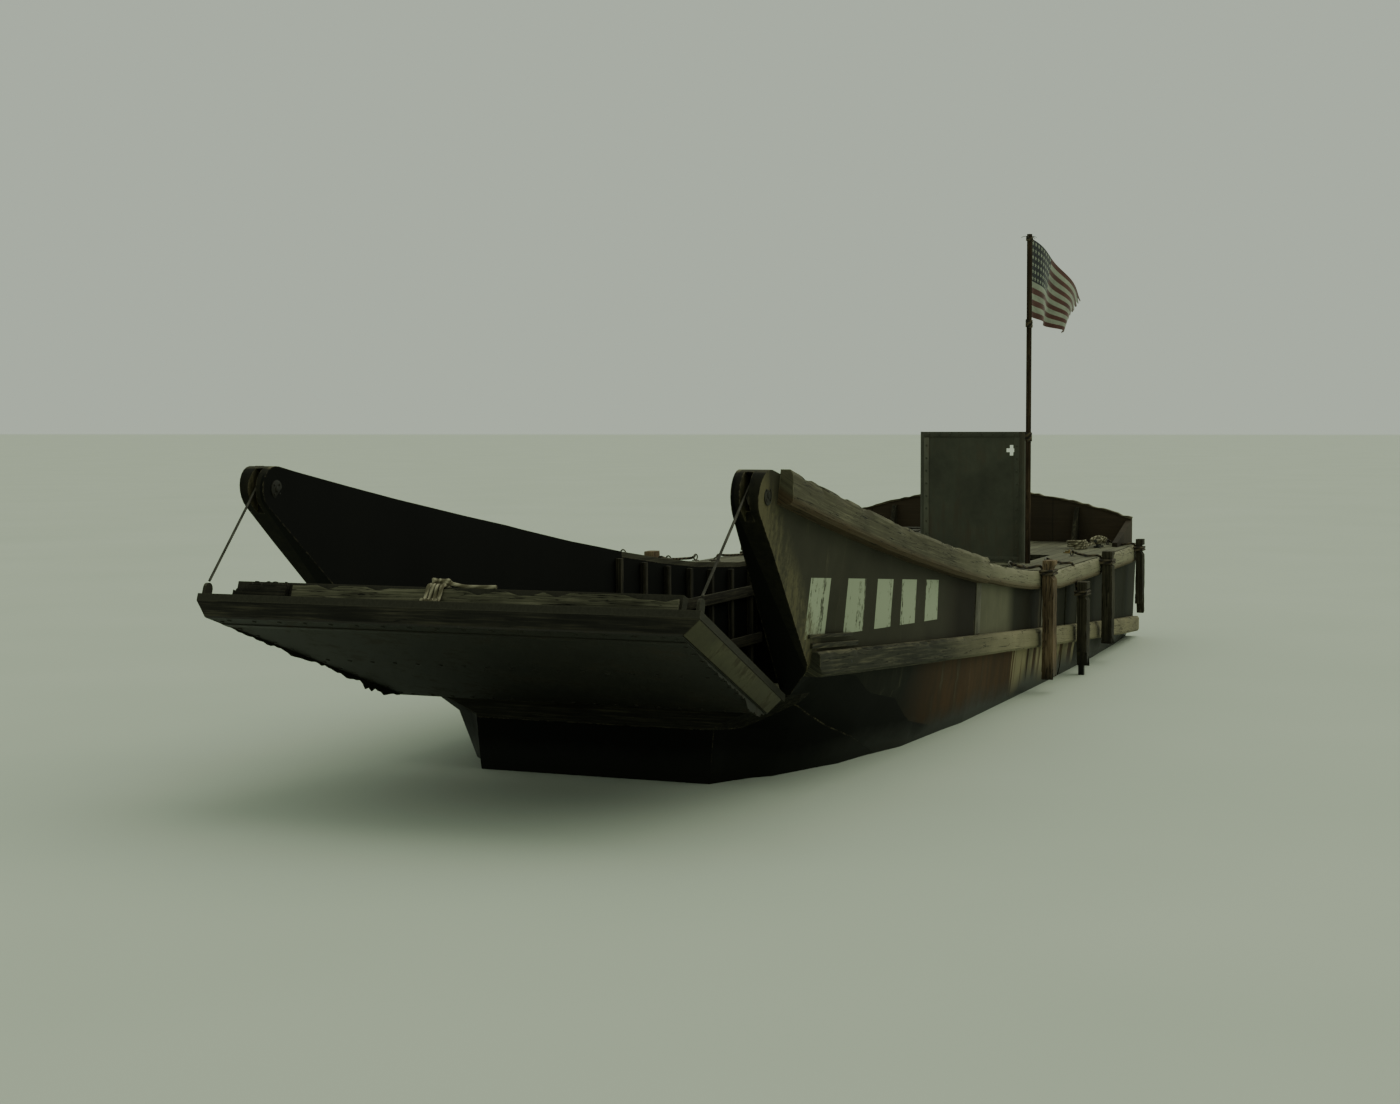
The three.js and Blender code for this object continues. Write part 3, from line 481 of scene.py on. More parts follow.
class Recipe:
    """A material while its nodes are being laid out."""

    def __init__(self, name: str) -> None:
        """Starts an empty material."""
        self.material = bpy.data.materials.new(name)
        self.material.use_nodes = True
        self.tree = self.material.node_tree
        self.tree.nodes.clear()

    def add(
        self,
        kind: str,
        *values: Link,
        out: str = "",
        stops: Sequence[tuple[float, str]] = (),
        **named_values: object,
    ) -> Optional[Socket]:
        """Adds one node with its settings and links.

        Args:
            kind: The node's type without its ShaderNode prefix, with its operation or data type after a dot.
            *values: Numbers, hex colours or links for its inputs, in their order.
            out: Name of the output to return, or the first one.
            stops: Positions and hex colours of a colour ramp.
            **named_values: Inputs by name, with _ for a space, or in small letters the node's own settings.

        Returns:
            One output socket.
        """
        kind, _, mode = kind.partition(".")
        node = self.tree.nodes.new(f"ShaderNode{kind}")
        if mode:
            setattr(node, "data_type" if kind == "Mix" else "operation", mode)
        if stops:
            ramp = node.color_ramp.elements
            while len(ramp) < len(stops):
                ramp.new(0.5)
            for element, (position, code) in zip(ramp, stops):
                element.position = position
                element.color = linear(code)
        sockets = [socket for socket in node.inputs if socket.enabled]
        pairs = list(zip(sockets, values))
        for key, value in named_values.items():
            if key[0].islower():
                setattr(node, key, value)
            else:
                pairs.append((node.inputs[key.replace("_", " ")], value))
        for socket, value in pairs:
            if isinstance(value, Socket):
                self.tree.links.new(value, socket)
            elif value is not None:
                socket.default_value = linear(value) if isinstance(value, str) else value
        results = [socket for socket in node.outputs if socket.enabled and out in ("", socket.name)]
        return results[0] if results else None

    def done(self, colour: Link, roughness: Link, normal: Link = None, **fixed: Link) -> bpy.types.Material:
        """Closes the material with its surface shader.

        Args:
            colour: Base colour.
            roughness: Roughness.
            normal: Bumped normal.
            **fixed: Other values of the shader's sockets, by name with _ for a space.
        """
        surface = self.add("BsdfPrincipled", Base_Color=colour, Roughness=roughness, Normal=normal, **fixed)
        self.add("OutputMaterial", surface)
        return self.material

    def edges(self, radius: float, low: float, high: float) -> Socket:
        """A mask of the piece's own corners.

        Args:
            radius: Reach of the wear from the corner.
            low: Where the mask starts.
            high: Where it is full.
        """
        rounded = self.add("Bevel", radius, samples=4)
        same = self.add("VectorMath.DOT_PRODUCT", rounded, self.add("NewGeometry", out="Normal"))
        return self.add("MapRange", self.add("Math.SUBTRACT", 1.0, same), low, high)


class Grain(Enum):
    """The direction that wood grain runs in, as how much the pattern is stretched along each axis."""

    ALONG = (1.0, 32.0, 32.0)
    ACROSS = (32.0, 1.0, 32.0)
    UPRIGHT = (32.0, 32.0, 1.0)


@dataclass(frozen=True)
class WeatheredTimber:
    """Sawn oak or fir left bare: grey, split along its grain, rubbed pale at its corners, and paler on its
    upward faces, partly as wear and partly as a painted highlight.
    """

    name: str
    base: str
    dark: str
    pale: str
    grain: Grain = Grain.ALONG
    grain_mm: float = 14.0  # coarser than real grain, so that it shows from a few metres
    bleach_aft: float = 0.0  # how much paler the timber gets towards the stern
    wet_below: Optional[float] = None  # height under which the wood is dark with water
    pale_share: float = 0.5
    follows: bool = False  # the grain follows a curved timber, by its UV map
    contrast: float = 1.0  # how strongly the grain shows
    brown_below: Optional[float] = None  # height on the UV map under which the paint has gone brown

    def make(self) -> bpy.types.Material:
        """Lays out the material."""
        r = Recipe(self.name)
        place = r.add("TexCoord", out="Object")
        source = r.add("UVMap", uv_map="grain") if self.follows else place
        along = r.add("Mapping", source, Scale=[1000.0 / (self.grain_mm * 32.0) * s for s in self.grain.value])
        rough = r.add("TexNoise", along, 1.0, 8.0, 0.65)
        fibre = r.add("MapRange", rough, 0.0, 1.0, 0.5 - 0.5 * self.contrast, 0.5 + 0.5 * self.contrast)
        colour = r.add("ValToRGB", fibre, stops=((0.28, self.dark), (0.5, self.base), (0.78, self.pale)))
        patches = r.add("TexNoise", place, 2.3, 5.0, 0.6)
        blot = r.add("MapRange", patches, 0.38, 0.68, 1.0 - 0.45 * self.contrast, 1.0 + 0.2 * self.contrast)
        colour = r.add("VectorMath.SCALE", colour, blot)
        # Upward faces are made paler along with the corners: partly chipped wear, partly a painted highlight on
        # the tops.
        ups = r.add("SeparateXYZ", r.add("NewGeometry", out="Normal"), out="Z")
        top = r.add("MapRange", ups, 0.55, 0.8, 0.0, 0.85)
        rubbed = r.add("Math.MAXIMUM", r.edges(0.012, 0.03, 0.25), top)
        patchy = r.add("Mapping", source, Scale=(7.0, 16.0, 16.0)) if self.follows else along
        chips = r.add("TexNoise", patchy, 0.7, 6.0, 0.75)
        chipped = r.add("MapRange", chips, 0.42, 0.62, 0.0, self.pale_share)
        colour = r.add("Mix.RGBA", r.add("Math.MULTIPLY", rubbed, chipped), colour, self.pale)
        if self.bleach_aft > 0:
            x = r.add("SeparateXYZ", place, out="X")
            aft = r.add("MapRange", x, 1.9, 0.2, 0.0, self.bleach_aft)
            colour = r.add("Mix.RGBA", r.add("Math.MULTIPLY", aft, blot), colour, self.pale)
        if self.brown_below is not None:
            up = r.add("SeparateXYZ", source, out="Y")
            low = r.add("MapRange", up, self.brown_below + 0.02, self.brown_below - 0.02, 0.0, 0.7)
            colour = r.add("Mix.RGBA", r.add("Math.MULTIPLY", low, blot), colour, "#46331f")
        split = r.add("Math.SUBTRACT", r.add("TexNoise", along, 0.45, 3.0, 0.5), 0.5)
        split = r.add("Math.ABSOLUTE", split)
        split = r.add("MapRange", split, 0.004 * self.contrast, 0.016 * self.contrast)
        colour = r.add("Mix.RGBA", split, "#15140f", colour)
        roughness: Link = 0.86
        if self.wet_below is not None:
            z = r.add("SeparateXYZ", place, out="Z")
            wet = r.add("MapRange", z, self.wet_below + 0.18, self.wet_below - 0.05)
            colour = r.add("Mix.RGBA", wet, colour, "#14150f")
            roughness = r.add("MapRange", wet, 0.0, 1.0, 0.86, 0.35)
        height = r.add("Math.MULTIPLY", rough, split)
        normal = r.add("Bump", Height=height, Strength=0.5, Distance=0.003)
        return r.done(colour, roughness, normal, Specular_IOR_Level=0.2)


@dataclass(frozen=True)
class HullMasks:
    """What the hull's patterns are laid out by: place, the mask of its outside, and two noises."""

    x: Socket
    z: Socket
    outer: Socket
    fine: Socket
    streaks: Socket


@dataclass(frozen=True)
class HullPaint:
    """Olive-black paint on plywood: faded by panels, streaked by salt, black and wet near the water, with
    near-black painted shade on its inner faces and on the bow's forward faces.
    """

    name: str = "olive_hull_paint_on_plywood"
    panel: str = "#3a382d"
    brown: str = "#211c13"
    faded: str = "#605f4d"
    dark: str = "#29291f"
    lower: str = "#191a13"
    # near-black painted shade, given to faces inside the hull that don't face up and to the bow's forward faces
    inner: str = "#090a07"
    tan: str = "#5e5942"
    rust: str = "#4b3824"
    chafed: str = "#8b8467"
    bottom: str = "#2c1e18"
    white: str = "#a3ab94"
    reach: float = 5.5  # the bands of colour are laid out from this far aft to this far forward
    # fore and aft limits of the plain white bars on each bow
    bars: tuple[tuple[float, float], ...] = (
        (4.05, 4.4), (3.4, 3.74), (2.87, 3.19), (2.38, 2.68), (1.87, 2.17)
    )

    def bands(self, r: Recipe, share: Socket, rows: Sequence[tuple[float, str]]) -> Socket:
        """Bands of colour along the boat.

        Args:
            r: The material.
            share: Place along the boat from 0 to 1.
            rows: Places and colours.
        """
        span = 2 * self.reach
        return r.add("ValToRGB", share, stops=[((x + self.reach) / span, code) for x, code in rows])

    def make(self) -> bpy.types.Material:
        """Lays out the material."""
        r = Recipe(self.name)
        place = r.add("TexCoord", out="Object")
        x, y, z = (r.add("SeparateXYZ", place, out=axis) for axis in "XYZ")
        wide = r.add("TexNoise", place, 1.4, 5.0, 0.6)
        uneven = r.add("MapRange", wide, 0.3, 0.7, -0.02, 0.02)
        along = r.add("MapRange", x, -self.reach, self.reach)
        upper = ((-5.5, self.dark), (-1.1, self.dark), (-1.08, self.brown), (-0.22, self.dark))
        upper += ((0.02, self.faded), (0.78, self.faded), (0.8, self.brown), (1.35, self.brown))
        upper += ((1.8, self.panel), (5.5, self.panel))
        under = ((-5.5, self.dark), (-2.6, self.dark), (-2.3, self.rust))
        under += ((1.5, self.rust), (2.4, self.lower), (5.5, self.lower))
        above = self.bands(r, along, upper)
        below = self.bands(r, r.add("Math.ADD", along, uneven), under)
        streaks = r.add("TexNoise", r.add("Mapping", place, Scale=(9.0, 9.0, 0.7)), 1.0, 6.0, 0.7)
        broken = r.add("MapRange", streaks, 0.45, 0.7, 0.0, 0.7)
        below = r.add("Mix.RGBA", broken, below, self.dark)
        slats = r.add("TexNoise", r.add("Mapping", place, Scale=(5.5, 0.0, 0.3)), 1.0, 3.0, 0.6)
        slats = r.add("MapRange", slats, 0.43, 0.49)
        amidships = r.add("Math.COMPARE", x, -1.35, 1.1)
        below = r.add("Mix.RGBA", r.add("Math.MULTIPLY", slats, amidships), below, self.chafed)
        line = r.add("Math.MULTIPLY_ADD", x, 0.06777, 0.4928)
        colour = r.add("Mix.RGBA", r.add("Math.GREATER_THAN", z, line), below, above)
        outer = r.add("Math.GREATER_THAN", r.add("Math.ABSOLUTE", y), 1.47)
        ups = r.add("SeparateXYZ", r.add("NewGeometry", out="Normal"), out="Z")
        trodden = r.add("Mix.RGBA", streaks, self.dark, self.chafed)
        # Faces inside the hull that face up are trodden; all the others get near-black painted shade.
        inside = r.add("Mix.RGBA", r.add("MapRange", ups, 0.6, 0.8), self.inner, trodden)
        colour = r.add("Mix.RGBA", outer, inside, colour)
        colour = r.add("VectorMath.SCALE", colour, r.add("MapRange", wide, 0.3, 0.72, 0.72, 1.25))
        fine = r.add("TexNoise", place, 26.0, 6.0, 0.7)
        salt = r.add("Math.MULTIPLY", r.add("MapRange", streaks, 0.6, 0.8, 0.0, 0.35), outer)
        colour = r.add("Mix.RGBA", salt, colour, self.chafed)
        masks = HullMasks(x, z, outer, fine, streaks)
        colour = r.add("Mix.RGBA", self.bar_mask(r, masks), colour, self.white)
        colour = self.bow_edge(r, masks, colour)
        chips = r.add("MapRange", fine, 0.45, 0.6, 0.0, 0.8)
        rubbed = r.add("Math.MULTIPLY", r.edges(0.014, 0.04, 0.3), chips)
        colour = r.add("Mix.RGBA", rubbed, colour, "#6d6650")
        wet = r.add("Math.SUBTRACT", r.add("Math.MULTIPLY_ADD", wide, 0.35, -0.02), z)
        wet = r.add("MapRange", wet, -0.06, 0.1)
        colour = r.add("Mix.RGBA", wet, colour, "#12130e")
        deep = r.add("Math.MULTIPLY", r.add("MapRange", z, -0.02, -0.06), outer)
        deep = r.add("Math.MAXIMUM", deep, r.add("MapRange", z, -0.2, -0.24))
        colour = r.add("Mix.RGBA", deep, colour, self.bottom)
        roughness = r.add("MapRange", wet, 0.0, 1.0, 0.72, 0.32)
        height = r.add("Math.MULTIPLY_ADD", fine, 0.3, streaks)
        normal = r.add("Bump", Height=height, Strength=0.3, Distance=0.003)
        return r.done(colour, roughness, normal, Specular_IOR_Level=0.12)

    def bow_edge(self, r: Recipe, m: HullMasks, colour: Socket) -> Socket:
        """The bow's raked edge: near-black painted shade on its forward faces, and rubbed to a mottled tan down
        its outer corner.

        Args:
            r: The material.
            m: The hull's masks.
            colour: The colour so far.
        """
        behind = r.add("Math.MULTIPLY_ADD", m.x, -0.665, 2.268)
        behind = r.add("Math.MULTIPLY_ADD", m.z, 0.7466, behind)
        strip = r.add("MapRange", behind, 0.24, 0.13)
        mottle = r.add("Math.MULTIPLY_ADD", m.fine, 0.6, m.streaks)
        mottle = r.add("MapRange", mottle, 0.72, 0.9, 0.15, 1.0)
        ahead = r.add("Math.GREATER_THAN", m.x, 4.1)
        for mask in (mottle, m.outer, ahead):
            strip = r.add("Math.MULTIPLY", strip, mask)
        colour = r.add("Mix.RGBA", strip, colour, self.tan)
        # Faces that point forward, ahead of x 4.1, get near-black painted shade.
        forward_face_shade = r.add("SeparateXYZ", r.add("NewGeometry", out="Normal"), out="X")
        forward_face_shade = r.add("Math.MULTIPLY", r.add("MapRange", forward_face_shade, 0.3, 0.5, 0.0, 0.9), ahead)
        return r.add("Mix.RGBA", forward_face_shade, colour, self.inner)

    def bar_mask(self, r: Recipe, m: HullMasks) -> Socket:
        """Where the plain white bars on each bow are painted, less what has flaked off.

        Args:
            r: The material.
            m: The hull's masks.
        """
        total: Link = 0.0
        for low, high in self.bars:
            inside = r.add("Math.COMPARE", m.x, (low + high) / 2, (high - low) / 2)
            total = r.add("Math.ADD", total, inside)
        middle = r.add("Math.MULTIPLY_ADD", m.x, 0.061, 0.849)
        away = r.add("Math.ABSOLUTE", r.add("Math.SUBTRACT", m.z, middle))
        within = r.add("Math.LESS_THAN", away, r.add("Math.MULTIPLY_ADD", m.x, 0.017, 0.102))
        flaked = r.add("Math.MULTIPLY_ADD", m.fine, 0.5, m.streaks)
        kept = r.add("MapRange", flaked, 0.86, 0.79, 0.1, 0.95)
        for mask in (within, m.outer, kept):
            total = r.add("Math.MULTIPLY", total, mask)
        return total


@dataclass(frozen=True)
class LaidPlanks:
    """Scrubbed fir planks, laid with dark seams: grey, foot-worn, each plank its own shade, and with painted
    shade on faces that don't face up.
    """

    name: str
    light: str
    dark: str
    plank_m: float = 0.115
    length_m: float = 1.9
    across: bool = False  # planks that run from side to side
    dirt: float = 0.5
    upright: bool = False  # boards that stand on edge

    def make(self) -> bpy.types.Material:
        """Lays out the material."""
        r = Recipe(self.name)
        place = r.add("TexCoord", out="Object")
        turned = r.add("Mapping", place, Rotation=(0.0, 0.0, math.pi / 2 if self.across else 0.0))
        laid = {"Scale": 1.0, "Mortar_Size": 0.0035, "Mortar_Smooth": 0.3, "offset": 0.37}
        laid |= {"Brick_Width": self.length_m, "Row_Height": self.plank_m}
        colours = {"Color1": self.light, "Color2": self.dark, "Mortar": "#1b1a14", "Bias": 0.0}
        seams = r.add("TexBrick", turned, **laid, **colours)
        gap = r.add("TexBrick", turned, out="Fac", **laid)
        fibre = r.add("TexNoise", r.add("Mapping", turned, Scale=(2.0, 60.0, 60.0)), 1.0, 6.0, 0.6)
        colour = r.add("VectorMath.SCALE", seams, r.add("MapRange", fibre, 0.3, 0.7, 0.75, 1.15))
        wide = r.add("TexNoise", place, 1.8, 6.0, 0.65)
        dirty = r.add("MapRange", wide, 0.5, 0.72, 0.0, self.dirt)
        colour = r.add("Mix.RGBA", dirty, colour, "#2b2820")
        # Faces that don't face up get the darker colours from this ramp: painted shade on the planks' sides and
        # ends. Boards that stand on edge are left without it.
        if not self.upright:
            ups = r.add("SeparateXYZ", r.add("NewGeometry", out="Normal"), out="Z")
            ends = r.add("ValToRGB", fibre, stops=((0.3, "#26251b"), (0.75, self.dark)))
            colour = r.add("Mix.RGBA", r.add("MapRange", ups, 0.5, 0.6), ends, colour)
        edge = r.add("Math.MULTIPLY", r.edges(0.012, 0.03, 0.3), 0.5)
        colour = r.add("Mix.RGBA", edge, colour, self.light)
        height = r.add("Math.MULTIPLY_ADD", fibre, 0.25, r.add("Math.SUBTRACT", 1.0, gap))
        normal = r.add("Bump", Height=height, Strength=0.6, Distance=0.004)
        return r.done(colour, 0.84, normal, Specular_IOR_Level=0.3)


@dataclass(frozen=True)
class ShipSteel:
    """Mild steel plate under old paint: scuffed, with rust that starts at its edges and runs down."""

    name: str
    paint: str
    rust: str = "#4a3424"
    rust_share: float = 0.5
    metallic: float = 0.25
    roughness: float = 0.55

    def make(self) -> bpy.types.Material:
        """Lays out the material."""
        r = Recipe(self.name)
        place = r.add("TexCoord", out="Object")
        cloud = r.add("TexNoise", place, 3.0, 8.0, 0.65)
        runs = r.add("TexNoise", r.add("Mapping", place, Scale=(14.0, 14.0, 1.6)), 1.0, 6.0, 0.7)
        pits = r.add("TexNoise", place, 85.0, 4.0, 0.6)
        shade = r.add("MapRange", cloud, 0.3, 0.7, 0.7, 1.35)
        colour = r.add("VectorMath.SCALE", linear(self.paint)[:3], shade)
        rusty = r.add("MapRange", r.add("Math.MULTIPLY", cloud, runs), 0.26, 0.36, 0.0, self.rust_share)
        corner = r.add("Math.MULTIPLY", r.edges(0.01, 0.03, 0.3), r.add("MapRange", pits, 0.4, 0.6))
        rusty = r.add("Math.MAXIMUM", rusty, r.add("Math.MULTIPLY", corner, self.rust_share))
        colour = r.add("Mix.RGBA", rusty, colour, self.rust)
        scuff = r.add("Math.MULTIPLY", r.add("MapRange", pits, 0.6, 0.72, 0.0, 0.5), corner)
        colour = r.add("Mix.RGBA", scuff, colour, "#6b6b5e")
        roughness = r.add("MapRange", rusty, 0.0, 1.0, self.roughness, 0.9)
        height = r.add("Math.MULTIPLY_ADD", pits, 0.4, cloud)
        normal = r.add("Bump", Height=height, Strength=0.3, Distance=0.004)
        return r.done(colour, roughness, normal, Metallic=self.metallic, Specular_IOR_Level=0.35)


@dataclass(frozen=True)
class BareMetal:
    """Galvanised steel or bronze, dulled by salt and darkened in its hollows."""

    name: str
    metal: str
    tarnish: str
    lay_mm: float = 6.0

    def make(self) -> bpy.types.Material:
        """Lays out the material."""
        r = Recipe(self.name)
        place = r.add("TexCoord", out="Object")
        fine = r.add("TexNoise", place, 1000.0 / self.lay_mm, 3.0)
        dull = r.add("MapRange", r.add("TexNoise", place, 9.0, 7.0, 0.65), 0.4, 0.62, 0.15, 0.95)
        colour = r.add("Mix.RGBA", dull, self.metal, self.tarnish)
        metallic = r.add("MapRange", dull, 0.0, 1.0, 0.95, 0.45)
        roughness = r.add("MapRange", dull, 0.0, 1.0, 0.45, 0.8)
        normal = r.add("Bump", Height=fine, Strength=0.35, Distance=0.0015)
        return r.done(colour, roughness, normal, Metallic=metallic)


@dataclass(frozen=True)
class Cordage:
    """Laid manila rope: three strands, dark with wet and tar."""

    name: str
    light: str
    dark: str
    strand_mm: float = 16.0

    def make(self) -> bpy.types.Material:
        """Lays out the material."""
        r = Recipe(self.name)
        place = r.add("TexCoord", out="Object")
        turned = r.add("Mapping", place, Rotation=(0.6, 0.5, 0.7))
        strands = r.add("TexWave", turned, 1000.0 / self.strand_mm / 6.28, 1.5, 2.0)
        tone = r.add("Math.MULTIPLY", strands, r.add("TexNoise", place, 12.0, 6.0))
        colour = r.add("ValToRGB", tone, stops=((0.1, self.dark), (0.55, self.light)))
        normal = r.add("Bump", Height=strands, Strength=0.8, Distance=0.003)
        return r.done(colour, 0.92, normal)


@dataclass(frozen=True)
class Bunting:
    """Woven wool bunting: thirteen stripes and a starred canton, faded and dirty, with a visible weave."""

    name: str = "woven_wool_bunting"
    red: str = "#5d3a33"
    white: str = "#9aa08e"
    blue: str = "#23272c"
    size: tuple[float, float] = (1.02, 0.66)
    thread_mm: float = 4.0  # coarser than real bunting, so that the weave shows

    def make(self) -> bpy.types.Material:
        """Lays out the material."""
        r = Recipe(self.name)
        flat = r.add("UVMap", uv_map="UVMap")
        u, v = (r.add("SeparateXYZ", flat, out=axis) for axis in "XY")
        stripe = r.add("Math.FRACT", r.add("Math.MULTIPLY", v, 6.5))
        colour = r.add("Mix.RGBA", r.add("Math.GREATER_THAN", stripe, 0.5), self.red, self.white)
        left, upper = r.add("Math.LESS_THAN", u, 0.4), r.add("Math.GREATER_THAN", v, 6.0 / 13.0)
        starred = r.add("Mix.RGBA", self.stars(r, u, v), self.blue, self.white)
        colour = r.add("Mix.RGBA", r.add("Math.MULTIPLY", left, upper), colour, starred)
        threads = [
            r.add("Math.SINE", r.add("Math.MULTIPLY", at, 1000.0 * length / self.thread_mm * math.pi))
            for at, length in zip((u, v), self.size)
        ]
        dirt = r.add("TexNoise", flat, 5.0, 7.0, 0.65)
        colour = r.add("VectorMath.SCALE", colour, r.add("MapRange", dirt, 0.35, 0.7, 0.65, 1.15))
        normal = r.add("Bump", Height=r.add("Math.MULTIPLY", *threads), Strength=0.4, Distance=0.001)
        return r.done(colour, 0.92, normal, Sheen_Weight=0.3)

    @staticmethod
    def stars(r: Recipe, u: Socket, v: Socket) -> Socket:
        """A mask of the canton's six rows of eight stars.

        Args:
            r: The material.
            u: Place along the flag.
            v: Place up the flag.
        """
        across = r.add("Math.MULTIPLY", u, 8.0 / 0.4)
        up = r.add("Math.MULTIPLY", r.add("Math.ADD", v, -6.0 / 13.0), 6.0 * 13.0 / 7.0)
        across, up = (r.add("Math.ADD", r.add("Math.FRACT", at), -0.5) for at in (across, up))
        far = r.add("VectorMath.LENGTH", r.add("CombineXYZ", across, up))
        points = r.add("Math.MULTIPLY", r.add("Math.ARCTAN2", across, up), 5.0)
        limit = r.add("Math.MULTIPLY_ADD", r.add("Math.COSINE", points), 0.09, 0.24)
        return r.add("Math.LESS_THAN", far, limit)


@dataclass(frozen=True)
class StudioFloor:
    """A plain pale matt floor."""

    name: str = "pale_matt_floor"

    def make(self) -> bpy.types.Material:
        """Lays out the material."""
        r = Recipe(self.name)
        cloud = r.add("TexNoise", r.add("TexCoord", out="Object"), 0.35, 2.0)
        return r.done(r.add("ValToRGB", cloud, stops=((0.2, "#bcc6b6"), (0.8, "#c3ccbd"))), 0.9)


@dataclass(frozen=True)
class Coat:
    """A finish on the boat: its material and the record's slot for it."""

    material: bpy.types.Material
    slot: Slot


Paints = dict[str, Coat]


def mixed_paints() -> Paints:
    """Every finish on the boat, made once."""
    up, across = Grain.UPRIGHT, Grain.ACROSS
    timber, planks, steel, metal = WeatheredTimber, LaidPlanks, ShipSteel, BareMetal
    guard = {"follows": True, "contrast": 0.5}
    paint = {"metallic": 0.1, "roughness": 0.65}
    finishes = {
        Slot.HULL: {
            "hull": HullPaint(),
            "rib": timber("painted_oak_frame", "#2e2c22", "#1d1c14", "#5a5642", up, pale_share=0.4),
            "rail": timber("painted_oak_rail", "#312f25", "#1f1e16", "#5d5945"),
            "lid": planks("painted_fir_lid_boards", "#45443a", "#39382e", 0.13, 4.0, dirt=0.6),
            "coaming": planks(
                "dark_brown_coaming_boards", "#3f3527", "#2a241a", 0.16, across=True, dirt=0.6, upright=True
            ),
        },
        Slot.GUARD: {
            "upper_guard": timber(
                "weathered_oak_upper_guard", "#555241", "#3b382b", "#949178",
                bleach_aft=0.6, pale_share=0.95, brown_below=-0.07, **guard,
            ),
            "lower_guard": timber(
                "painted_oak_lower_guard", "#34342a", "#28271e", "#8a8469",
                bleach_aft=0.8, pale_share=0.85, **guard,
            ),
            "strip": timber("painted_oak_chafing_strip", "#35342a", "#24231b", "#757158", pale_share=0.8),
            "fender_brown": timber("brown_fir_fender", "#6d5c46", "#43362a", "#928269", up, wet_below=0.12),
            "fender_dark": timber(
                "tarred_fir_fender", "#3b382c", "#25221b", "#655f4c", up, wet_below=0.1, pale_share=0.45
            ),
            "batten": timber(
                "worn_fir_seam_batten", "#68665a", "#515043", "#959179", up, pale_share=0.8, contrast=0.6
            ),
            "post": timber("varnished_ash_staff", "#3a2e21", "#231a11", "#66573f", up, grain_mm=8),
            "cap": timber("worn_oak_coaming_cap", "#4a4232", "#2d271c", "#8b866c", across, pale_share=0.9),
            "rope": Cordage("laid_manila_rope", "#5c523d", "#241f17"),
            "pale_rope": Cordage("bleached_manila_rope", "#9a957d", "#59543f"),
        },
        Slot.DECK: {
            "deck": planks("scrubbed_fir_deck_planks", "#76755f", "#5b5947"),
            "board": planks("worn_fir_covering_boards", "#6f6d58", "#565443", length_m=2.6),
            "ramp_deck": planks("wet_fir_ramp_planks", "#494739", "#333127", 0.14, 2.4, dirt=0.7),
            "cross_timber": timber(
                "wet_oak_cross_timber", "#22211a", "#16150f", "#4a4737", across, pale_share=0.4
            ),
            "lip": timber("bleached_fir_lip_board", "#5b5a48", "#3b3a2d", "#85826c", across, grain_mm=10),
        },
        Slot.PLATE: {
            "plate": steel("olive_painted_ramp_plate", "#1f1e15", "#33291c", 0.45, 0.1, 0.6),
            "ramp_side": steel("chafed_olive_ramp_side_plate", "#4a4835", "#332b1d", 0.7, 0.1, 0.7),
            "shield": steel("dark_painted_shield_plate", "#494b3e", rust_share=0.3, **paint),
            "shield_edge": steel("rubbed_shield_edge", "#5f6152", rust_share=0.35, **paint),
            "winch": steel("grey_painted_cast_steel", "#3a3c36", rust_share=0.6),
        },
        Slot.BARE: {
            "wire": metal("galvanised_wire_rope", "#5a5850", "#34312a"),
            "bare": metal("rubbed_galvanised_steel", "#85837b", "#4b4539"),
        },
        Slot.BRONZE: {"bronze": metal("cast_propeller_bronze", "#9a7a45", "#4f5a40")},
        Slot.ENGINE: {
            "dial": metal("enamelled_dial_face", "#b9b7a4", "#8c8a78", lay_mm=2.0),
            "engine": steel("grey_enamelled_cast_iron", "#4c5256", "#2b2620", metallic=0.1),
        },
        Slot.CLOTH: {"bunting": Bunting()},
    }
    return {key: Coat(kind.make(), slot) for slot, rows in finishes.items() for key, kind in rows.items()}


# Sub-assemblies


@dataclass
class Assembly:
    """A group of pieces on the boat, and the finishes that they are given."""

    paint: Paints

    def add(
        self,
        name: str,
        parts: Sequence[Obj],
        coat: str,
        body: Body = Body.HULL,
        stands_for: Sequence[str] = (),
    ) -> Obj:
        """Joins parts into one piece, dresses it, sets it riding on its body and reports it.

        Args:
            name: The piece's name.
            parts: The finished parts.
            coat: Its finish.
            body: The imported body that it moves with.
            stands_for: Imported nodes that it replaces.

        Returns:
            The piece.
        """
        obj = joined(name, parts)
        obj.data.materials.clear()
        obj.data.materials.append(self.paint[coat].material)
        take(obj)
        bpy.ops.object.shade_smooth_by_angle(angle=math.radians(28))
        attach(obj, body.value)
        if stands_for:
            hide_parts(*stands_for)
        LOG.info("%s: %d faces", obj.name, len(obj.data.polygons))
        return obj


@dataclass
class Shell(Assembly):
    """The planked shell, with its shallow facets faired into one surface."""

    nodes: tuple[str, ...] = (
        "hull_bottom",
        "hull_aft",
        "bow_wing_port",
        "bow_wing_starboard",
        "side_wall_port",
        "side_wall_starboard",
    )

    def build(self) -> None:
        """Builds a faired piece for each node of the shell, of the same shape."""
        for node in self.nodes:
            shell = linked(f"faired_{node}", bpy.data.objects[node].data.copy())
            with shaping(shell, "VERT"):
                bpy.ops.mesh.select_all(action="SELECT")
                bpy.ops.mesh.remove_doubles(threshold=0.00001)
            take(shell)
            bpy.ops.mesh.customdata_custom_splitnormals_clear()
            self.add(shell.name, [shell], "hull", stands_for=[node])


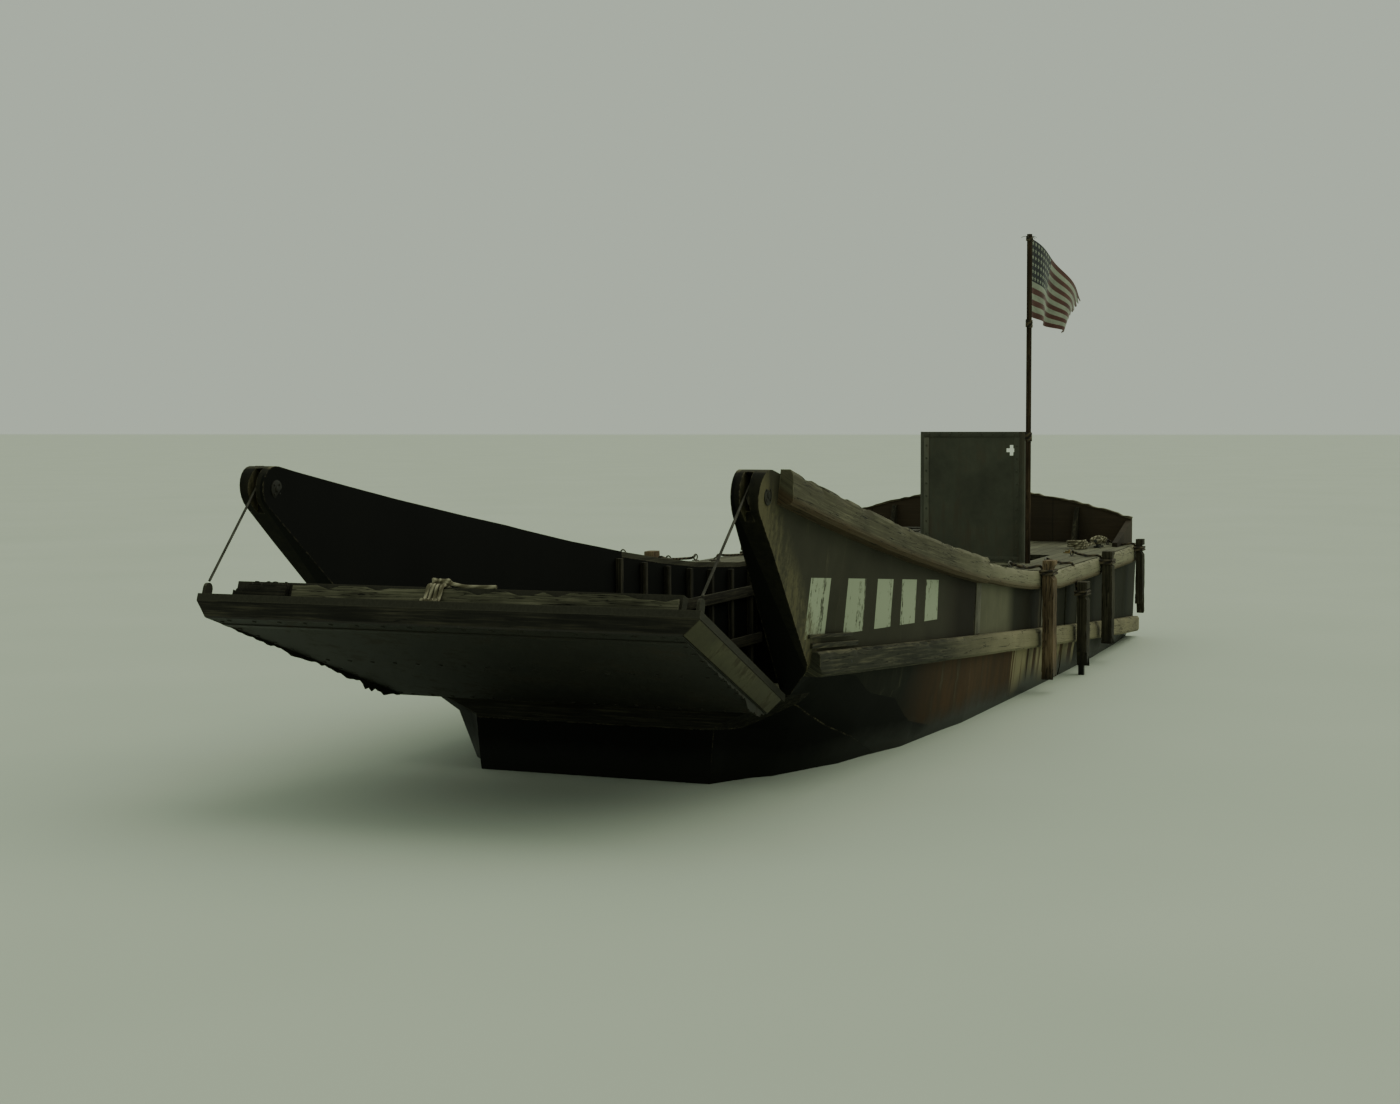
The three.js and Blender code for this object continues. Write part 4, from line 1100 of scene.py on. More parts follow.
@dataclass
class Guards(Assembly):
    """The rubbing guards along both sides, worn by quays and ships' sides, with their bolts."""

    # node, finish, whether it is at the sheer, how much of its top edge is bitten
    rows: tuple[tuple[str, str, bool, float], ...] = (
        ("guard_upper_fore", "upper_guard", True, 0.16),
        ("guard_upper_aft", "upper_guard", True, 0.5),
        ("guard_lower", "lower_guard", False, 0.16),
    )
    step: float = 0.07
    wear: float = 0.0011
    chip: float = 0.02
    bolt: float = 0.017
    bolt_spacing: float = 0.42
    bolt_sunk: float = 0.012

    def build(self) -> None:
        """Builds each side's guards and their bolts."""
        for side in Side:
            for i, (row, coat, upper, share) in enumerate(self.rows, 1):
                node, seed = f"{row}_{side.word}", 3 + side.value + 5 * i
                guard = self.worn(node, seed)
                self.chipped(guard, side, seed, share)
                self.lay_grain(guard, side, upper)
                self.add(guard.name, [guard], coat, stands_for=[node])
            self.bolt_lines(side)

    def worn(self, node: str, seed: int) -> Obj:
        """A copy of a packed timber with its faces knocked and rounded by wear.

        Args:
            node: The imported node.
            seed: Shifts the wear, so that no two timbers are alike.
        """
        low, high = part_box(node)
        span = high - low
        axis = max(range(3), key=lambda i: span[i])
        along = (X, Y, Z)[axis]

        def is_across(edge: bmesh.types.BMEdge) -> bool:
            """Whether an edge runs round the timber and is long enough to divide."""
            run = (edge.verts[0].co - edge.verts[1].co).normalized()
            return edge.calc_length() > 0.035 and abs(run[axis]) < 0.5

        obj = linked(f"worn_{node}", bpy.data.objects[node].data.copy())
        with shaping(obj):
            bpy.ops.mesh.select_all(action="SELECT")
            bpy.ops.mesh.remove_doubles(threshold=0.0004)
            bpy.ops.mesh.tris_convert_to_quads(face_threshold=0.2, shape_threshold=0.8)
            steps = range(1, int(span[axis] / self.step))
            sliced(([a + b * i * self.step for a, b in zip(low, along)], along) for i in steps)
            pick(obj, "edges", is_across)
            bpy.ops.mesh.subdivide(number_cuts=2)
        wear(obj, self.wear, 0.09, seed)
        wear(obj, self.wear * 0.8, 0.35, seed + 7)
        return obj

    @staticmethod
    def lay_grain(guard: Obj, side: Side, upper: bool) -> None:
        """Writes a UV map that follows the guard, along it and round it.

        Args:
            guard: The worn guard.
            side: Which side of the boat.
            upper: Whether it is at the sheer.
        """
        layer = guard.data.uv_layers.new(name="grain")
        middle, edge = (LINES.sheer, LINES.sheer_side) if upper else (LINES.guard, LINES.guard_side)
        for loop in guard.data.loops:
            at = guard.data.vertices[loop.vertex_index].co
            out = side.value * at.y - edge(at.x)
            layer.data[loop.index].uv = (at.x + 30 * side.value, at.z - middle(at.x) + 0.7 * out)

    def chipped(self, guard: Obj, side: Side, seed: int, share: float) -> None:
        """Breaks bites out of a guard's top outer edge.

        Args:
            guard: The worn guard.
            side: Which side of the boat.
            seed: Which bites.
            share: How much of the edge is bitten.
        """
        rng = random.Random(seed)
        bites: dict[int, float] = {}
        depth = 0.0
        for i in range(-80, 80):
            depth = rng.uniform(0.25, 1.0) * self.chip if rng.random() < share else depth * 0.3
            bites[i] = depth
        with shaping(guard, "VERT") as mesh:
            for vert in mesh.verts:
                if vert.normal.z > 0.25 and vert.normal.y * side.value > 0.2:
                    bite = bites.get(round(vert.co.x / self.step), 0.0)
                    vert.co.z -= bite * 0.8
                    vert.co.y -= side.value * bite * 0.7

    def bolt_lines(self, side: Side) -> None:
        """The carriage bolts that hold the guards to one side."""
        s, places, x = side.value, [], -5.2
        while x < 4.9:
            drop, thick = (0.07, 0.08) if x > 0.88 else (0.078, 0.06)
            y, z = LINES.sheer_side(x) + thick - self.bolt_sunk, LINES.sheer(x) - drop
            places.append(facing((x, s * y, z), (0, s, 0)))
            if x < 4.1:
                y = LINES.guard_side(x) + 0.065 - self.bolt_sunk
                places.append(facing((x + 0.1, s * y, LINES.guard(x + 0.1)), (0, s, 0)))
            x += self.bolt_spacing
        self.add(f"guard_bolts_{side.word}", [bolts(self.bolt, 0.007, places)], "plate")


@dataclass(frozen=True)
class Fender:
    """One fender's number from forward, its place and its sizes."""

    number: int
    x: float
    top: float
    foot: float
    width: float
    thick: float
    slope: float  # how far its broken foot runs up
    coat: str = "fender_dark"


@dataclass
class Fenders(Assembly):
    """The timber fenders that hang over the guards on short ropes."""

    # number, x, top, foot, width, thickness, slope of the foot, finish
    rows: tuple[Fender, ...] = (
        Fender(1, -0.83, 1.065, 0.1, 0.15, 0.105, 0.05, "fender_brown"),
        Fender(2, -2.1, 0.8, 0.03, 0.15, 0.1, 0.2),
        Fender(3, -3.1, 1.0, 0.15, 0.14, 0.11, 0.1),
        Fender(4, -4.85, 1.01, 0.23, 0.13, 0.085, 0.25),
    )
    off: float = 0.066
    rope: float = 0.011
    lashed: float = 0.09  # how far the rope's upper turn lies under the fender's head

    def build(self) -> None:
        """Builds the four fenders of each side with their ropes."""
        for side in Side:
            for row in self.rows:
                inner = LINES.sheer_side(row.x) + self.off
                self.timber(side, row, inner)
                self.lanyard(side, row, inner)

    def timber(self, side: Side, row: Fender, inner: float) -> None:
        """One fender: a split and splintered post, notched for its rope.

        Args:
            side: Which side of the boat.
            row: The fender.
            inner: Its inner face.
        """
        s, x, outer = side.value, row.x, inner + row.thick
        notch = row.top - self.lashed - self.rope
        y0, y1 = sorted((s * inner, s * outer))
        post = box((x - row.width / 2, y0, row.foot), (x + row.width / 2, y1, row.top), 0.012)
        levels = [row.foot + (row.top - row.foot) * i / 24 for i in range(1, 24)]
        levels += [notch + lift for lift in (-0.029, -0.02, 0.02, 0.029)]
        cuts = [((x, inner, level), (0, 0, 1)) for level in levels]
        cuts += [((x + part * row.width, inner, row.top), (1, 0, 0.02)) for part in (-0.3, -0.1, 0.12, 0.3)]
        with shaping(post):
            sliced(cuts)
        rng = random.Random(row.number * 10 + s)
        rises = [row.slope * rng.random() for _ in range(7)]
        reach = 1.6 * row.slope
        with shaping(post, "VERT") as mesh:
            for vert in mesh.verts:
                below = row.foot + reach - vert.co.z
                if below > 0:
                    rise = rises[min(6, max(0, round((vert.co.x - x) / row.width * 6 + 3)))]
                    vert.co.z += below * rise / reach
        wear(post, 0.007, 0.07, row.number * 4 + s)
        wear(post, 0.006, 0.3, row.number * 4 + s + 1)
        with shaping(post, "VERT"):
            pick(post, "verts", lambda v: abs(v.co.z - notch) < 0.03 and abs(v.co.y - s * outer) < 0.03)
            bpy.ops.transform.translate(value=(0, -s * self.rope * 2, 0))
        parts = [post]
        if row.number == 2:
            tail = box((x - 0.02, y0 + 0.01, -0.06), (x + 0.035, y1 - 0.035, row.top - 0.2), 0.008)
            wear(tail, 0.008, 0.05, 5)
            parts.append(tail)
        which = f"{row.number}_{side.word}"
        self.add(f"fender_timber_{which}", parts, row.coat, stands_for=[f"fender_{which}"])

    def lanyard(self, side: Side, row: Fender, inner: float) -> None:
        """The rope round a fender's head, and up over the deck edge to an eye bolt.

        Args:
            side: Which side of the boat.
            row: The fender.
            inner: Its inner face.
        """
        s, x, high, deck = side.value, row.x, row.top - self.lashed, LINES.sheer(row.x) + self.rope
        half = row.width / 2 + self.rope * 0.6
        near, far = inner - self.rope * 0.4, inner + row.thick - self.rope * 1.2
        loops = []
        for z in (high, high - self.rope * 2.1):
            corners = [(x - half, near, z), (x - half, far, z), (x + half, far, z), (x + half, near, z)]
            loops.append(run_of_rope([(a, s * b, c) for a, b, c in corners for _ in range(2)], self.rope, True))
        rise = [
            (x, near, high),
            (x, near - 0.005, high + 0.02),
            (x + 0.01, inner - 0.03, max(high + 0.04, deck + 0.012)),
            (x + 0.03, inner - 0.09, deck + 0.008),
            (x - 0.03, inner - 0.15, deck + 0.003),
            (x - 0.12, inner - 0.18, deck + 0.003),
            (x - 0.17, inner - 0.24, deck + 0.004),
            (x - 0.14, inner - 0.28, deck + 0.022),
            (x - 0.12, inner - 0.292, deck + 0.03),
        ]
        loops.append(run_of_rope([(a, s * b, c) for a, b, c in rise], self.rope))
        at = Vector((x - 0.12, s * (inner - 0.3), LINES.sheer(x)))
        eye = [disc(at - Z * 0.001, Z, 0.032, 0.006), ring(at + Z * 0.03, (0.3, 1, 0), 0.024, 0.006)]
        self.add(f"fender_eye_bolt_{row.number}_{side.word}", eye, "bare")
        self.add(f"fender_rope_{row.number}_{side.word}", loops, "rope")


@dataclass
class HullSides(Assembly):
    """What is fastened to the hull's outside: chafing strips at the bow, and seam battens."""

    # fore x, aft x, height over the lower guard at the fore and the aft end, width
    strips: tuple[tuple[float, ...], ...] = (
        (4.34, 3.62, 0.165, 0.16, 0.022), (4.28, 3.5, 0.108, 0.104, 0.03)
    )
    # x, width
    battens: tuple[tuple[float, float], ...] = ((0.865, 0.13), (-1.12, 0.06), (-2.45, 0.06), (-3.72, 0.06))

    def build(self) -> None:
        """Builds both sides."""
        for side in Side:
            out, parts = (0, side.value, 0), []
            for fore, aft, high_fore, high_aft, width in self.strips:
                a = self.at(side, fore, LINES.guard(fore) + high_fore, 0.006)
                b = self.at(side, aft, LINES.guard(aft) + high_aft, 0.006)
                parts.append(strut(a, b, width, 0.02, out))
            self.add(f"bow_chafing_strips_{side.word}", parts, "strip")
            parts = []
            for x, width in self.battens:
                a = self.at(side, x, LINES.guard(x) + 0.08, 0.002)
                b = self.at(side, x, LINES.sheer(x) - 0.15, 0.002)
                parts.append(strut(a, b, width, 0.008, out, 0.002))
            self.add(f"seam_battens_{side.word}", parts, "batten")

    @staticmethod
    def at(side: Side, x: float, z: float, out: float) -> Vector:
        """A point just off one side of the hull."""
        return Vector((x, side.value * (LINES.side(x, z) + out), z))


@dataclass
class LoadSpace(Assembly):
    """The frames and the foot rail along the load space's walls."""

    spacing: float = 0.46
    rib: tuple[float, float] = (0.05, 0.045)
    rails: tuple[float, float] = (0.42, 0.85)  # heights over the floor

    def build(self) -> None:
        """Builds the frames and rails of both walls."""
        for side in Side:
            out, parts, x = (0, side.value, 0), [], -1.72
            while x < 1.5:
                ends = (LINES.floor(x) + 0.004, LINES.sheer(x) - 0.06)
                a, b = (self.at(side, x, z, self.rib[1] / 2 + 0.001) for z in ends)
                parts.append(strut(a, b, *self.rib, out))
                x += self.spacing
            self.add(f"wall_frames_{side.word}", parts, "rib")
            parts = []
            for lift in self.rails:
                a, b = (self.at(side, x, LINES.floor(0) + lift, self.rib[1] + 0.014) for x in (-1.9, 1.45))
                parts.append(strut(a, b, 0.09, 0.026, out))
            self.add(f"wall_rails_{side.word}", parts, "rail")

    @staticmethod
    def at(side: Side, x: float, z: float, off: float) -> Vector:
        """A point just off one wall of the load space."""
        return Vector((x, side.value * (LINES.inside(x, z) - off), z))


@dataclass
class RampDressing(Assembly):
    """What wear and use have left on the ramp: torn plate edges, lashed lip, bolts and lip boards."""

    plate_low: float = -0.146
    panel_low: float = -0.05
    length: float = 1.98
    bevel: float = 0.08
    rope: float = 0.011
    # name, its two ends across the boat, height, thickness, finish
    boards: tuple[tuple[str, float, float, float, float, str], ...] = (
        ("lip_facing_board", -0.98, 1.34, 0.094, 0.024, "lip"),
        ("lip_broken_block", -1.345, -1.0, 0.1, 0.05, "cross_timber"),
    )

    def half(self, x: float) -> float:
        """Half width of the ramp."""
        return 1.29 + 0.22 * x / self.length

    def build(self) -> None:
        """Builds every piece on the ramp."""
        for side in Side:
            self.side_plate(side)
            self.torn_edge(side)
        self.lashing()
        self.plate_bolts()
        self.lap()
        for row in self.boards:
            self.lip_board(*row)
        self.tread_bolts()

    def side_plate(self, side: Side) -> None:
        """The chafed steel strip over one bevelled side of the ramp."""
        s, middle = side.value, (self.plate_low + self.panel_low) / 2
        across = Vector((0.0, s * self.bevel, self.panel_low - self.plate_low))
        out = Vector((0.0, s * across.z, -abs(across.y))).normalized()
        ends = []
        for x in (0.13, self.length - 0.004):
            ends.append(on_ramp(*(Vector((x, s * (self.half(x) - self.bevel / 2), middle)) + out * 0.0012)))
        plate = strut(*ends, across.length - 0.012, 0.003, RAMP_FRAME.to_3x3() @ out, 0.001)
        self.add(f"ramp_side_plate_{side.word}", [plate], "ramp_side", Body.RAMP)

    def lashing(self) -> None:
        """A bleached rope's end, lashed over the lip with a knot on top."""
        # along the ramp, sideways from the pass's middle, height
        route = ((1.95, 0.01, 0.004), (1.9, 0, 0.008), (1.888, 0, 0.05), (1.884, 0, 0.108))
        route += ((1.82, 0, 0.118), (1.775, 0.008, 0.1), (1.772, 0.01, 0.03), (1.74, 0.02, 0.004))
        runs = [[(x, 0.027 * i - 0.12 + y, z) for x, y, z in route] for i in range(4)]
        rng = random.Random(5)
        knot = []
        for i in range(15):
            angle = i * 2.2
            x, y = 1.83 + 0.035 * math.cos(angle), -0.07 + 0.06 * math.sin(angle * 0.7)
            knot.append((x, y, 0.125 + 0.018 * rng.random() + 0.012 * math.sin(angle)))
        runs += [knot, [(1.83, -0.05, 0.14), (1.83, 0.04, 0.115), (1.84, 0.16, 0.112), (1.85, 0.27, 0.113)]]
        parts = [run_of_rope([on_ramp(*point) for point in run], self.rope) for run in runs]
        self.add("lip_lashing", parts, "pale_rope", Body.RAMP)

    def lip_board(self, name: str, start: float, end: float, high: float, thick: float, coat: str) -> None:
        """A worn board on the lip: the bleached facing, or the dark splintered block beside it.

        Args:
            name: The piece's name.
            start: Its starboard end.
            end: Its port end.
            high: Its height.
            thick: Its thickness.
            coat: Its finish.
        """
        x, z, cuts = 1.851 + thick / 2, (high + 0.004) / 2 - 0.006, 30
        board = strut(on_ramp(x, start, z), on_ramp(x, end, z), high + 0.004, thick, RAMP_AHEAD, 0.004)
        with shaping(board):
            sliced(((0, start + (end - start) * i / cuts, 0), (0, 1, 0)) for i in range(1, cuts))
        wear(board, 0.006, 0.12, 9)
        rng = random.Random(name)
        bites = [rng.random() ** 3 * 0.03 for _ in range(cuts + 1)]
        with shaping(board, "VERT") as mesh:
            for vert in mesh.verts:
                local = RAMP_FRAME.inverted() @ vert.co
                if local.z > high * 0.6:
                    local.z -= bites[round((vert.co.y - start) / (end - start) * cuts) % (cuts + 1)]
                    local.z -= max(0.0, -1.22 - vert.co.y) * 0.45
                    vert.co = RAMP_FRAME @ local
        self.add(name, [board], coat, Body.RAMP)

    def torn_edge(self, side: Side) -> None:
        """The torn strip that hangs from one lower edge of the ramp's plate."""
        rng = random.Random(40 + side.value)
        start, end, cuts = 0.15, 1.93, 56
        strip = box((start, -0.003, -0.02), (end, 0.003, 0.0), 0)
        with shaping(strip):
            sliced(((start + (end - start) * i / cuts, 0, 0), (1, 0, 0)) for i in range(1, cuts))
        level = 0.0
        with shaping(strip, "VERT"):
            for i in range(cuts + 1):
                part = i / cuts
                most = 0.07 * math.exp(-(((part - 0.12) / 0.14) ** 2)) + 0.03 * math.sin(math.pi * part)
                level = 0.35 * level + 0.65 * rng.uniform(0.1, 1.0) * most
                at = start + (end - start) * part
                pick(strip, "verts", lambda v: v.co.z < -0.01 and abs(v.co.x - at) < 0.01)
                bpy.ops.transform.translate(value=(0, 0, 0.017 - level))
        with shaping(strip, "VERT") as mesh:
            for vert in mesh.verts:
                vert.co.y += side.value * (self.half(vert.co.x) - self.bevel - 0.012)
        settle(strip, RAMP_FRAME @ Matrix.Translation((0, 0, self.plate_low + 0.002)))
        self.add(f"torn_plate_edge_{side.word}", [strip], "plate", Body.RAMP)

    def tread_bolts(self) -> None:
        """Bolts in the treads and on the hinge straps."""
        spots = [(0.343 + 0.24 * i, (j / 4 - 1) * 0.92, 0.010) for i in range(6) for j in range(9)]
        spots += [(0.14, y + off, -0.008) for y in (-0.895, -0.235, 0.235, 0.895) for off in (-0.025, 0.025)]
        heads = bolts(0.011, 0.006, [facing(on_ramp(*spot), RAMP_UP) for spot in spots])
        self.add("ramp_tread_bolts", [heads], "plate", Body.RAMP)

    def plate_bolts(self) -> None:
        """The bolt heads round the ramp's outer plate and across it."""
        spots = []
        for i in range(12):
            x = 0.2 + 1.7 * i / 11
            edge = self.half(x) - self.bevel - 0.05
            spots += [(x, edge), (x, -edge)]
        for i in range(17):
            spots += [(x, (i / 8 - 1) * (self.half(x) - self.bevel - 0.12)) for x in (0.17, 1.04, 1.93)]
        heads = bolts(0.014, 0.006, [facing(on_ramp(x, y, self.plate_low), -RAMP_UP) for x, y in spots])
        self.add("ramp_plate_bolts", [heads], "plate", Body.RAMP)

    def lap(self) -> None:
        """The lapped seam across the plate near its free edge."""
        x = 1.83
        reach = self.half(x) - self.bevel - 0.01
        a, b = (on_ramp(x, y, self.plate_low - 0.002) for y in (-reach, reach))
        self.add("ramp_plate_lap", [strut(a, b, 0.05, 0.008, -RAMP_UP, 0.002)], "plate", Body.RAMP)


@dataclass
class LiftCables(Assembly):
    """The two wire ropes from the sheaves to the ramp's eyes."""

    radius: float = 0.008
    turns: float = 9.0
    reach: float = 0.071  # from the sheave's middle to the wire on it
    leaves: float = math.radians(47.5)  # angle round the sheave where the wire leaves it
    eye: tuple[float, float, float] = (1.93, 1.486, 0.076)  # from the ramp's hinge

    def build(self) -> None:
        """Builds each cable as laid strands, straight from the sheave to the ramp's eye."""
        x, y, z = SHEAVE
        for side in Side:
            off = self.reach * math.cos(self.leaves), self.reach * math.sin(self.leaves)
            upper = Vector((x + off[0], side.value * y, z + off[1]))
            lower = on_ramp(self.eye[0], side.value * self.eye[1], self.eye[2])
            span = lower - upper
            deselect()
            bpy.ops.mesh.primitive_circle_add(vertices=12, radius=self.radius)
            wire = named(f"wire_rope_{side.word}")
            with shaping(wire, "VERT") as mesh:
                for i, vert in enumerate(mesh.verts):
                    vert.co *= 0.72 if i % 2 else 1.0
            turn = {"angle": self.turns * 2 * math.pi, "screw_offset": span.length, "axis": "Z"}
            finish_with(wire, "SCREW", steps=110, render_steps=110, use_normal_calculate=True, **turn)
            with shaping(wire, "EDGE"):
                for end in (0.0, span.length):
                    pick(wire, "edges", lambda edge: edge.is_boundary and abs(edge.verts[0].co.z - end) < 0.01)
                    bpy.ops.mesh.edge_face_add()
                bpy.ops.mesh.select_all(action="SELECT")
                bpy.ops.mesh.normals_make_consistent(inside=False)
            settle(wire, facing(upper, span))
            wire.data.materials.append(self.paint["wire"].material)
            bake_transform(wire)
            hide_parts(f"ramp_cable_{side.word}")
            LOG.info("%s: %d faces", wire.name, len(wire.data.polygons))


@dataclass
class FlagAndStaff(Assembly):
    """The flagstaff with its lashing and frayed head wire, and the flag that streams aft."""

    foot: tuple[float, float] = (-2.19, 1.21)
    radius: float = 0.023
    hoist: float = 0.66
    head: float = 3.70
    heading: float = math.radians(25)
    columns: int = 72
    rows: int = 36
    # height of the lowest turn, number of turns
    lashings: tuple[tuple[float, int], ...] = ((2.95, 5), (3.68, 3), (1.98, 6))

    def build(self) -> None:
        """Builds the flag and what is tied to the staff."""
        self.flag()
        self.staff()

    def point(self, u: float, v: float) -> Vector:
        """A point of the flag, u along it from the staff and v down it."""
        reach = self.radius + 0.008 + u * (0.72 - 0.29 * v)
        drop = 0.5 * (1 - v) * u**1.3 + v * (self.hoist + 0.13 * u)
        wave = 0.075 * u**0.7 * (0.4 + 0.6 * v) * math.sin(2 * math.pi * (1.7 * u - 0.15 * v))
        c, s = math.cos(self.heading), math.sin(self.heading)
        x, y = self.foot
        return Vector((x - reach * c + wave * s, y + reach * s + wave * c, self.head - drop))

    def flag(self) -> None:
        """The cloth, with its torn fly edge."""
        deselect()
        bpy.ops.mesh.primitive_grid_add(
            x_subdivisions=self.columns, y_subdivisions=self.rows, size=1, calc_uvs=True
        )
        cloth = named("flag_cloth_sheet")
        rng = random.Random(8)
        torn = []
        for _ in range(self.rows + 1):
            torn.append(1 - 0.02 * rng.random() - (0.07 * rng.random() if rng.random() < 0.35 else 0))
        with shaping(cloth, "VERT") as mesh:
            for vert in mesh.verts:
                u, v = vert.co.x + 0.5, 0.5 - vert.co.y
                limit = torn[min(self.rows, round(v * self.rows))]
                vert.co = self.point(min(u, limit) if u > 0.9 else u, v)
        finish_with(cloth, "SOLIDIFY", thickness=0.0016, offset=0.0)
        self.add(cloth.name, [cloth], "bunting", stands_for=["flag"])

    def staff(self) -> None:
        """The staff's lashings and the frayed wire at its head."""
        x, y = self.foot
        reach, parts = self.radius + 0.005, []
        for z, turns in self.lashings:
            points = []
            for i in range(turns * 8):
                angle = i * math.pi / 4
                points.append((x + math.cos(angle) * reach, y + math.sin(angle) * reach, z + 0.0016 * i))
            parts.append(run_of_rope(points, 0.0065))
        self.add("staff_lashings", parts, "rope")
        rng = random.Random(12)
        frays = []
        for i in range(5):
            c, s = math.cos(2.4 * i), math.sin(2.4 * i)
            tip = (x + 0.07 * c, y + 0.07 * s, 3.69 + 0.035 * rng.random())
            bend = (x + 0.045 * c, y + 0.045 * s, 3.728)
            frays.append(run_of_rope(((x, y, 3.72), bend, tip), 0.0022))
        self.add("staff_head_wire", frays, "wire")


@dataclass
class CoxswainShield(Assembly):
    """The shield's stiffening strips, foot angle and bolts."""

    x: float = -2.24
    y: tuple[float, float] = (0.225, 1.165)
    foot: float = DECK + 0.0003
    top: float = 2.06

    def build(self) -> None:
        """Builds the pieces that are bolted to the shield."""
        x, (y0, y1), foot, top = self.x, self.y, self.foot, self.top
        sizes = ((0.05, 0.007), (0.007, 0.05))
        angle = [box((x, y0 + 0.05, foot), (x + a, y1 - 0.05, foot + b), 0.002) for a, b in sizes]
        self.add("shield_foot_angle", angle, "shield")
        for name, low_y, high_y, low_z, high_z, coat in (
            ("top", y0 + 0.05, y1 - 0.05, top - 0.045, top - 0.001, "shield"),
            ("starboard", y0 + 0.045, y0 + 0.09, foot + 0.06, top - 0.05, "shield_edge"),
            ("port", y1 - 0.09, y1 - 0.045, foot + 0.06, top - 0.05, "shield"),
        ):
            strip = box((x, low_y, low_z), (x + 0.006, high_y, high_z), 0.002)
            self.add(f"shield_edge_strip_{name}", [strip], coat)
        stays = []
        for y in (0.5, 0.83):
            for back, half in ((0.05, 0.003), (0.016, 0.02)):
                stays.append(box((x - back, y - half, foot + 0.04), (x - 0.0102, y + half, top - 0.03), 0.001))
        self.add("shield_stays", stays, "shield")
        spots = []
        for i in range(9):
            y = y0 + 0.09 + (y1 - y0 - 0.18) * i / 8
            spots += [(x + 0.006, y, top - 0.022), (x + 0.007, y, foot + 0.028)]
        for i in range(9):
            z = foot + 0.13 + (top - foot - 0.25) * i / 8
            spots += [(x + 0.006, y0 + 0.067, z), (x + 0.006, y1 - 0.067, z)]
        self.add("shield_bolts", [bolts(0.009, 0.006, [facing(spot, X) for spot in spots])], "shield")


@dataclass
class WinchDressing(Assembly):
    """The wire on the winch's drum, its ratchet with the pawl, and its hold-down bolts."""

    at: tuple[float, float, float] = (-2.23, -0.84, DECK + 0.0003)
    axle: float = 0.2
    teeth: int = 20

    def build(self) -> None:
        """Builds the winch's fine pieces."""
        x, y, z = self.at
        turns = []
        for i in range(14):
            spot = (x, y - 0.128 + i * 0.0197, z + self.axle)
            deselect()
            bpy.ops.mesh.primitive_torus_add(
                major_radius=0.071,
                minor_radius=0.0085,
                major_segments=28,
                minor_segments=8,
                location=spot,
                rotation=(math.pi / 2 + 0.09, 0, 0),
            )
            turns.append(settle(named("turn")))
        self.add("winch_drum_wire", turns, "wire")
        centre = Vector((x, y + 0.212, z + self.axle))
        ratchet = [disc(centre, Y, 0.085, 0.014)]
        for i in range(self.teeth):
            tooth = box((-0.006, 0, 0.078), (0.012, 0.014, 0.1), 0.001)
            turn = Matrix.Rotation(i * 2 * math.pi / self.teeth, 4, "Y")
            ratchet.append(settle(tooth, Matrix.Translation(centre) @ turn))
        foot, tip = centre + Vector((0.095, 0.007, 0.09)), centre + Vector((0.015, 0.007, 0.106))
        ratchet += [strut(foot, tip, 0.02, 0.012, Y), disc(foot - Y * 0.02, Y, 0.014, 0.034)]
        self.add("winch_ratchet", ratchet, "bare")
        places = [facing((x + dx, y + dy, z + 0.024), Z) for dx in (-0.14, 0.14) for dy in (-0.21, 0.21)]
        self.add("winch_bed_bolts", [bolts(0.016, 0.012, places)], "winch")


@dataclass
class BowFittings(Assembly):
    """The axle plates beside each sheave and the pad eyes along the covering boards."""

    plate: float = 0.055
    pads: tuple[float, ...] = (0.55, -0.35, -1.4)

    def build(self) -> None:
        """Builds both sides."""
        for side in Side:
            self.axle_plates(side)
            self.pad_eyes(side)

    def axle_plates(self, side: Side) -> None:
        """A bolted plate on each face of one wing, over the sheave's axle."""
        wing, (x, _, z) = bpy.data.objects[f"faired_bow_wing_{side.word}"], SHEAVE
        parts, heads = [], []
        for out, start in ((-side.value * Y, 0.0), (side.value * Y, 3.0)):
            at = wing.ray_cast(Vector((x, side.value * start, z)), -out)[1]
            parts += [disc(at - out * 0.003, out, self.plate, 0.006), disc(at + out * 0.002, out, 0.017, 0.006)]
            for i in range(4):
                angle = math.radians(45 + 90 * i)
                off = Vector((math.cos(angle), 0, math.sin(angle))) * 0.038
                heads.append(facing(at + out * 0.003 + off, out))
        parts.append(bolts(0.007, 0.005, heads))
        self.add(f"sheave_axle_plates_{side.word}", parts, "plate")

    def pad_eyes(self, side: Side) -> None:
        """The pad eyes on one covering board, each with a loose ring."""
        parts = []
        for x in self.pads:
            y, top = side.value * 1.36, LINES.sheer(x)
            slope = (LINES.sheer(x + 0.05) - LINES.sheer(x - 0.05)) / 0.1
            up = Vector((-slope, 0, 1)).normalized()
            parts += [disc((x, y, top - 0.001), up, 0.045, 0.008), ring((x, y, top + 0.018), X, 0.02, 0.006)]
            parts.append(ring((x + 0.035, y, top + 0.016), up, 0.045, 0.006))
        self.add(f"covering_board_pad_eyes_{side.word}", parts, "bare")


